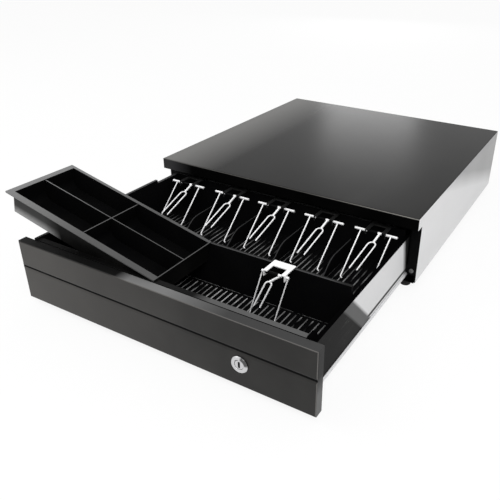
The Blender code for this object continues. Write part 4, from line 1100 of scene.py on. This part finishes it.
@dataclass
class CoinTray:
    """The loose coin tray: a wide rim, a basket with rounded ends and four scooped cups."""

    length: float = 232.4 * MM
    width: float = 103 * MM
    tilt: float = math.radians(13.06)
    end: Point = mm(-1.5, -253.7, 80.8)
    rim: float = 1.5 * MM
    rim_left: float = 6.2 * MM
    rim_front: float = 6.8 * MM
    rim_back: float = 3.2 * MM
    rim_skin: float = 0.6 * MM
    rim_turn: float = 0.3
    corner_steps: int = 4
    depth: float = 29 * MM
    wall: float = 1.2 * MM
    scoop: float = 11 * MM
    scoop_steps: int = 10
    divider_drop: float = 1.2 * MM
    edge: float = 0.45 * MM
    edge_angle: float = 40.0

    def build(self) -> None:
        """Mould the tray flat, then turn it and set it down askew."""
        half = self.wall / 2
        left, front, back = self.rim_left - self.length, self.rim_front, self.width - self.rim_back
        middle_x, middle_y = left / 2, (front + back) / 2
        cup_x = (left + self.wall, middle_x - half, middle_x + half, -self.wall)
        cup_y = (front + self.wall, middle_y - half, middle_y + half, back - self.wall)
        tray = Workpiece.cube("loose_coin_tray", (-self.length, 0, -self.rim), (0, self.width, 0))
        tray.cut_all(Axis.X, left, *cup_x)
        tray.cut_all(Axis.Y, front, *cup_y, back)
        tray.pick_faces(lambda middle, normal: normal.z < -FACING and middle.x > left
                        and front < middle.y < back)
        tray.extrude((0, 0, self.rim - self.depth))
        tray.pick_faces(lambda middle, normal: normal.z > FACING and cup_x[0] < middle.x < cup_x[3]
                        and cup_y[0] < middle.y < cup_y[3])
        tray.extrude((0, 0, -self.divider_drop))
        tray.pick_faces(lambda middle, normal: normal.z > FACING and self._in_cup(middle.x, cup_x)
                        and self._in_cup(middle.y, cup_y))
        tray.extrude((0, 0, self.wall - self.depth + self.divider_drop))
        for places, level, radius in ((cup_x, self.wall - self.depth, self.scoop),
                                      ((left, 0.0), -self.depth, self.scoop + self.wall)):
            tray.pick_edges(lambda a, b: max(abs(a.z - level), abs(b.z - level), abs(a.x - b.x)) < NEAR / 2
                            and min(abs(a.x - place) for place in places) < NEAR / 2)
            tray.bevel(radius, self.scoop_steps)
        tray.pick_edges(lambda a, b: abs(a.x - b.x) < NEAR and abs(a.y - b.y) < NEAR
                        and min(a.z, b.z) > -self.rim - NEAR
                        and (abs(a.x) < NEAR or a.x < NEAR - self.length)
                        and (a.y < NEAR or a.y > self.width - NEAR))
        tray.bevel(2 * self.rim, self.corner_steps)
        tray.soften(self.edge, self.edge_angle)
        tray.turn_all(self.tilt, Axis.Y)
        corner = case_origin() + Vector(self.end)
        tray.move(corner)
        back_turn = Matrix.Rotation(-self.tilt, 3, Axis.Y.name)

        def slot(middle: Vector, normal: Vector) -> int:
            """Tell the rim and the basket's outside from the cups.

            Args:
                middle: A face's middle.
                normal: Its normal.

            Returns:
                1 on the rim and the dividers' tops, 2 on the basket's outside and 0 in the cups.
            """
            place, facing = back_turn @ (middle - corner), back_turn @ normal
            if place.z > -self.rim - 2 * NEAR and (facing.z > self.rim_turn or place.y < self.rim_skin
                                                   or place.x < self.rim_skin - self.length):
                return 1
            within = left + half < place.x < -half and front + half < place.y < back - half
            return 0 if within and place.z > half - self.depth else 2

        tray.finish(Body.COIN_TRAY, ["coin_tray"], [COIN_PLASTIC, COIN_TRAY_RIM_LIGHT, BASKET_PAINTED_SHADE], choose=slot)

    @staticmethod
    def _in_cup(place: float, limits: Sequence[float]) -> bool:
        """Return whether a place lies in one of two cups."""
        return limits[0] < place < limits[1] or limits[2] < place < limits[3]


@dataclass(frozen=True)
class ClipForm:
    """The sizes and the bracket's finish, a dark copy as painted shade on the rear clips, that set a rear
    clip and the front clip apart.

    The foot is measured from the top of its leg, and the fork's places from the middle of the rod.
    """

    leg: float
    leg_wire: float
    foot: Point
    fork: float
    fork_start: float
    shoulder: Point
    tips: Point
    sleeves: Sequence[Span]
    plate: Finish


REAR_CLIP = ClipForm(leg=20.5 * MM, leg_wire=0.95 * MM, foot=mm(-6, -44.5), fork=5 * MM, fork_start=5.5 * MM,
                     shoulder=mm(2.325, -12.5, -7.75), tips=mm(-7.2, -50, -31),
                     sleeves=(mm(-11.3, 2.9), mm(8.1, 12.3)), plate=BRACKET_PAINTED_SHADE)
FRONT_CLIP = ClipForm(leg=16.6 * MM, leg_wire=0.75 * MM, foot=mm(-9.5, -15), fork=4 * MM, fork_start=7 * MM,
                      shoulder=mm(-5, -4, -9.5), tips=mm(-14, -17, -38),
                      sleeves=(mm(-12.3, 4.2), mm(9.6, 12.3)), plate=WIRE)


@dataclass
class NoteClips:
    """Five clips along the rear wall and one in front, each on its bracket and with its sleeves."""

    rear_count: int = 5
    rod: float = 1.7 * MM
    rod_edge: float = 0.4 * MM
    rod_sides: int = 16
    wire: float = 0.95 * MM
    stem: float = 1.5 * MM
    bend: float = 3 * MM
    fork_bend_share: float = 0.95
    foot_turn: float = 3 * MM
    bracket_edge: float = 0.18 * MM
    bracket_angle: float = 30.0
    sleeve_radius: float = 2.0 * MM
    sleeve_edge: float = 0.25 * MM
    sleeve_sides: int = 24
    clip_smooth: float = 50.0
    plate_smooth: float = 40.0

    def build(self) -> None:
        """Bend the clips, press their brackets and slide on their sleeves."""
        for number in range(1, self.rear_count + 2):
            low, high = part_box(f"note_clip_{number}")
            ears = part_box(f"clip_bracket_{number}")
            hinge = Vector(((ears[0].x + ears[1].x) / 2, high.y - self.rod, high.z - self.rod))
            rear = number <= self.rear_count
            form = REAR_CLIP if rear else FRONT_CLIP
            half = high.x - hinge.x if rear else form.leg + self.wire
            self._clip(number, form, hinge, half, hinge.z - low.z - self.wire)
            bracket = Workpiece.node_copy(f"bracket_{number}", f"clip_bracket_{number}")
            bracket.soften(self.bracket_edge, self.bracket_angle)
            # The rear brackets' plate is a dark copy, painted in shade.
            bracket.finish(Body.DRAWER, [f"clip_bracket_{number}"], [form.plate], self.plate_smooth)
            self._sleeves(number, form, hinge)

    def _clip(self, number: int, form: ClipForm, hinge: Vector, half: float, drop: float) -> None:
        """Bend a clip from its rod, two legs, a stem and a fork.

        Args:
            number: The clip's number.
            form: Its sizes.
            hinge: The middle of its rod.
            half: Half the rod's length.
            drop: How far its feet lie below the rod.
        """
        clip = Workpiece.rod(f"clip_{number}_wire", self.rod, hinge - Vector((half, 0, 0)), 2 * half,
                             self.rod_sides)
        clip.soften(self.rod_edge, SHARP)
        parts = []
        for side in Side:
            top = hinge + Vector((side.value * form.leg, 0, 0))
            foot = top + Vector((*form.foot, -drop))
            parts.append(bent_wire("leg", [top, foot, foot + Vector((self.foot_turn, 0, 0))], form.leg_wire,
                                   self.bend))
        shoulder, tips = hinge + Vector(form.shoulder), hinge + Vector(form.tips)
        across = Vector((form.fork, 0, 0))
        parts.append(bent_wire("fork", [tips - across, shoulder - across, shoulder + across, tips + across],
                               self.wire, form.fork * self.fork_bend_share))
        parts.append(bent_wire("stem", [hinge + Vector((form.fork_start, 0, 0)), shoulder], self.stem))
        clip.take_in(parts)
        clip.finish(Body(f"note_clip_{number}"), [f"note_clip_{number}"], [WIRE], self.clip_smooth)

    def _sleeves(self, number: int, form: ClipForm, hinge: Vector) -> None:
        """Slide black sleeves over the rod between the bracket's ears.

        Args:
            number: The clip's number.
            form: Its sizes.
            hinge: The middle of its rod.
        """
        for index, (start, end) in enumerate(form.sleeves):
            sleeve = Workpiece.rod(f"clip_{number}_sleeve_{index + 1}", self.sleeve_radius,
                                   hinge + Vector((start, 0, 0)), end - start, self.sleeve_sides)
            sleeve.soften(self.sleeve_edge, SHARP)
            sleeve.finish(Body(f"note_clip_{number}"), [], [COIN_PLASTIC], self.plate_smooth,
                          slot="note_tray")


@dataclass
class Softened:
    """Moulded or turned pieces that keep the CAD form and get rounded edges."""

    body: Body
    finishes: Sequence[Finish]
    nodes: Sequence[str]
    width: float = 0.3 * MM
    choose: Chooser | None = None
    smooth: float = 40.0

    def build(self) -> None:
        """Copy each node, round its edges and dress it."""
        for node in self.nodes:
            piece = Workpiece.node_copy(f"{node}_finished", node)
            piece.soften(self.width)
            piece.finish(self.body, [node], self.finishes, self.smooth, self.choose)


@dataclass
class NoteTray:
    """The note tray with rounded rims and a lower right wall, and its four loose dividers."""

    rounding: float = 0.3 * MM
    top_band: float = 6.5 * MM
    right_rim: float = 5 * MM
    right_drop: float = 15 * MM
    front_rim: float = 12 * MM
    wall_drop: float = 13 * MM
    wall_slope: float = 6 * MM
    wall_edge: float = 0.6 * MM
    facing_up: float = 0.3
    smooth: float = 40.0
    divider_count: int = 4
    divider_rounding: float = 0.4 * MM
    divider_front: float = 0.7

    def build(self) -> None:
        """Mould the tray and cut the dividers."""
        low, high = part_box("note_tray")
        inside, behind = high.x - self.right_rim, low.y + self.front_rim + self.wall_slope
        level = high.z - self.wall_drop

        def slot(middle: Vector, normal: Vector) -> int:
            """Tell the rims from the rest.

            Args:
                middle: A face's middle.
                normal: Its normal.

            Returns:
                1 on the front rim, 2 on the left and rear rims, 3 on the right rim and 0 elsewhere.
            """
            if middle.x > inside and middle.z > high.z - self.right_drop:
                return 3
            if normal.z < self.facing_up or middle.z < high.z - self.top_band:
                return 0
            return 1 if middle.y < low.y + self.front_rim else 2

        def edge(middle: Vector, normal: Vector) -> int:
            """Return 1 on a divider's upper and front edges and 0 on its sides."""
            return 1 if normal.z > self.facing_up or normal.y < -self.divider_front else 0

        tray = Workpiece.node_copy("note_tray_finished", "note_tray")
        tray.cut_all(Axis.X, inside - self.wall_edge, inside)
        tray.cut_all(Axis.Y, behind - self.wall_slope, behind)
        tray.pick_points(lambda place: place.x > inside - NEAR and place.y > behind - NEAR
                         and place.z > level)
        tray.level(level)
        tray.soften(self.rounding)
        # The front rim gets painted light, the left and rear rims a painted highlight line, and the right rim
        # painted shade.
        tray.finish(Body.DRAWER, ["note_tray"], [TRAY_PLASTIC, FRONT_RIM_PAINTED_LIGHT, OUTER_RIMS_HIGHLIGHT, RIGHT_RIM_PAINTED_SHADE],
                    self.smooth, slot)
        dividers = [f"divider_{number + 1}" for number in range(self.divider_count)]
        # The dividers' tops and front edges get a painted highlight.
        Softened(Body.DRAWER, [TRAY_PLASTIC, DIVIDER_HIGHLIGHT], dividers, self.divider_rounding, edge).build()


@dataclass
class RunnerBars:
    """The runners' inner members, whose pale strips lie along the drawer's sides."""

    rounding: float = 0.15 * MM

    def build(self) -> None:
        """Round the bars' edges."""
        bars = [f"inner_runner_{side.word}" for side in Side]
        Softened(Body.DRAWER, [RUNNER_STRIP], bars, self.rounding).build()


@dataclass
class Lock:
    """The lock's barrel, plug and nut."""

    face_skin: float = 0.4 * MM
    barrel_rounding: float = 0.25 * MM
    plug_rounding: float = 0.12 * MM

    def build(self) -> None:
        """Turn the barrel and the plug, and cut the nut."""
        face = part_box("lock_plug")[0].y

        def slot(middle: Vector, normal: Vector) -> int:
            """Return 1 on all that lies behind the plug's face and 0 on the face."""
            return 1 if middle.y > face + self.face_skin else 0

        Softened(Body.DRAWER, [CHROME], ["lock_barrel"], self.barrel_rounding).build()
        # Behind its face the plug is painted black as shade.
        Softened(Body.LOCK_PLUG, [CHROME, SLOT_PAINTED_SHADE], ["lock_plug"], self.plug_rounding, slot).build()
        Softened(Body.DRAWER, [ZINC], ["lock_nut"]).build()


@dataclass
class ReturnSpring:
    """The push-out plunger's coil spring."""

    wire: float = 0.6 * MM
    wire_sides: int = 10
    radius: float = 3.8 * MM
    turns: int = 12
    steps: int = 20
    travel: float = 29.9 * MM

    def build(self) -> None:
        """Coil the spring and close its ends."""
        low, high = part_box("ejector_spring")
        middle, whole = (low + high) / 2, high.y - low.y
        clear_selection()
        bpy.ops.mesh.primitive_circle_add(vertices=self.wire_sides, radius=self.wire,
                                          location=(self.radius, 0, 0))
        coil = Workpiece("return_spring")
        coil.modify("SCREW", axis=Axis.Y.name, angle=-math.tau * self.turns,
                    screw_offset=whole - 2 * self.wire, steps=self.steps * self.turns,
                    render_steps=self.steps * self.turns)
        bpy.ops.mesh.select_all(action="SELECT")
        coil.move((middle.x, low.y + self.wire, middle.z))
        bpy.ops.mesh.select_mode(type=Part.EDGES.value)
        bpy.ops.mesh.select_all(action="DESELECT")
        bpy.ops.mesh.select_non_manifold()
        bpy.ops.mesh.edge_face_add()
        spring = coil.finish(Body.CASE, ["ejector_spring"], [WIRE], SHARP)
        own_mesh(spring)


@dataclass
class PlainNodes:
    """Flat CAD pieces that keep their mesh and get a finish, by the words that their names start with."""

    # The front posts, guide blocks and guide screws get darker copies of their finishes as painted shade, and
    # the base plate and the tub carry painted shade in theirs.
    finishes: Sequence[tuple[Finish, tuple[str, ...]]] = (
        (ENAMEL, ("rear_panel",)), (ZINC_PAINTED_FRONT_SHADE, ("base_plate",)), (TUB_SHEET_PAINTED_SHADE, ("drawer_tub",)),
        (ENAMEL_PAINTED_SHADE, ("front_post",)), (GUIDE_PAINTED_SHADE, ("guide_block",)), (SCREW_PAINTED_SHADE, ("guide_screw",)),
        (TAPE, ("solenoid_coil",)), (LEAD, ("solenoid_lead",)), (NYLON, ("ejector_plunger",)),
        (TRAY_PLASTIC, ("jack_socket",)),
        (ZINC, ("outer_runner", "mid_runner", "inner_runner", "rear_screw", "latch", "hook_pin", "striker",
                "solenoid_frame", "solenoid_plunger", "clevis_pin", "ejector_housing", "lock_cam")))

    def build(self) -> None:
        """Give each CAD node its finish."""
        for name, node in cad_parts.items():
            for finish, words in self.finishes:
                if name.startswith(words):
                    self._dress(node, finish)

    @staticmethod
    def _dress(node: bpy.types.Object, finish: Finish) -> None:
        """Give a CAD node a finish in all its slots.

        Args:
            node: The node.
            finish: The finish.
        """
        material = finish.build()
        if not node.material_slots:
            node.data.materials.append(material)
        for slot in node.material_slots:
            slot.material = material
        LOG.info("dressed %s with %s", node.name, finish.name)


@dataclass(frozen=True)
class Lamp:
    """A soft lamp that faces the drawer."""

    name: str
    place: Point
    size: float
    power: float

    def build(self) -> None:
        """Hang the lamp."""
        data = bpy.data.lights.new(self.name, "AREA")
        data.size = self.size
        data.energy = self.power
        lamp = bpy.data.objects.new(self.name, data)
        bpy.context.scene.collection.objects.link(lamp)
        lamp.location = self.place
        lamp.rotation_euler = (-Vector(self.place)).to_track_quat("-Z", "Y").to_euler()


@dataclass
class Studio:
    """The camera, the lamps, the pale floor and the plain surroundings."""

    place: Point = (0.3916, -0.6498, 0.4222)
    yaw: float = math.radians(29.74)
    pitch: float = math.radians(27.99)
    roll: float = math.radians(0.8)
    lens: float = 42.73
    sensor: float = 36.0
    shift: Span = (-0.0788, -0.0254)
    nearest: float = 0.01
    floor_size: float = 14.0
    floor_grey: float = 0.9
    floor_roughness: float = 0.8
    floor_glow: float = 0.88
    diffuse_level: float = 0.75
    lamps: Sequence[Lamp] = (
        Lamp("key", (0.9, -1.1, 1.5), 1.0, 16.0), Lamp("fill", (-1.3, -0.6, 1.2), 1.2, 7.0),
        Lamp("back", (-0.78, 2.2, 0.53), 0.5, 2.6))

    def build(self) -> None:
        """Set up the studio."""
        bpy.context.scene.view_settings.view_transform = "Standard"
        self._camera()
        self._surroundings()
        self._floor()
        for lamp in self.lamps:
            lamp.build()

    def _camera(self) -> None:
        """Place the camera where the photograph was taken from."""
        data = bpy.data.cameras.new("camera")
        data.lens, data.sensor_width, data.clip_start = self.lens, self.sensor, self.nearest
        data.shift_x, data.shift_y = self.shift
        camera = bpy.data.objects.new("camera", data)
        bpy.context.scene.collection.objects.link(camera)
        ahead = Vector((-math.sin(self.yaw) * math.cos(self.pitch),
                        math.cos(self.yaw) * math.cos(self.pitch), -math.sin(self.pitch)))
        right = Vector((math.cos(self.yaw), math.sin(self.yaw), 0))
        above = right.cross(ahead)
        turn, lean = math.cos(self.roll), math.sin(self.roll)
        right, above = turn * right + lean * above, turn * above - lean * right
        axes = Matrix((right, above, -ahead)).transposed().to_4x4()
        axes.translation = case_origin() + Vector(self.place)
        camera.matrix_world = axes
        bpy.context.scene.camera = camera

    @staticmethod
    def _sees_white(bench: NodeBench) -> Socket:
        """Return 1 for rays that see the plain white surroundings.

        Args:
            bench: The material's or world's tree.

        Returns:
            The value.
        """
        path = bench.add("ShaderNodeLightPath")
        seen = bench.math("MAXIMUM", path.outputs["Is Camera Ray"], path.outputs["Is Glossy Ray"])
        return bench.math("MAXIMUM", seen, path.outputs["Is Transmission Ray"])

    def _surroundings(self) -> None:
        """Make the surroundings white to the eye and plain in light."""
        world = bpy.data.worlds.new("plain_surroundings")
        bpy.context.scene.world = world
        world.use_nodes = True
        bench = NodeBench(world.node_tree)
        ground = world.node_tree.nodes["Background"]
        bench.feed(ground.inputs["Color"], grey(1.0))
        level = bench.ramp(self._sees_white(bench), 0.0, 1.0, self.diffuse_level)
        bench.feed(ground.inputs["Strength"], level)

    def _floor(self) -> None:
        """Lay the pale floor, which keeps the drawer's shadow."""
        clear_selection()
        bpy.ops.mesh.primitive_plane_add(size=self.floor_size, location=(0, 0, 0))
        floor = bpy.context.object
        floor.name = "pale_floor"
        material = bpy.data.materials.new("pale_floor")
        material.use_nodes = True
        bench = NodeBench(material.node_tree)
        shader = material.node_tree.nodes["Principled BSDF"]
        bench.feed(shader.inputs["Base Color"], grey(self.floor_grey))
        bench.feed(shader.inputs["Roughness"], self.floor_roughness)
        glow = bench.add("ShaderNodeEmission", {"Color": grey(1.0), "Strength": 1.0})
        share = bench.product(self._sees_white(bench), self.floor_glow)
        mixed = bench.add("ShaderNodeMixShader", {0: share, 1: shader.outputs[0], 2: glow.outputs[0]})
        bench.feed(material.node_tree.nodes["Material Output"].inputs["Surface"], mixed.outputs[0])
        floor.data.materials.append(material)


def main() -> None:
    """Build and dress the drawer piece by piece."""
    logging.basicConfig(level=logging.INFO, format="%(name)s: %(message)s")
    Studio().build()
    PlainNodes().build()
    CaseCover().build()
    FrontPanel().build()
    CoinTray().build()
    NoteClips().build()
    NoteTray().build()
    RunnerBars().build()
    Lock().build()
    ReturnSpring().build()
    feet = [f"foot_{row}_{side.word}" for row in ("front", "rear") for side in Side]
    Softened(Body.CASE, [RUBBER], feet).build()


if __name__ == "__main__":
    main()
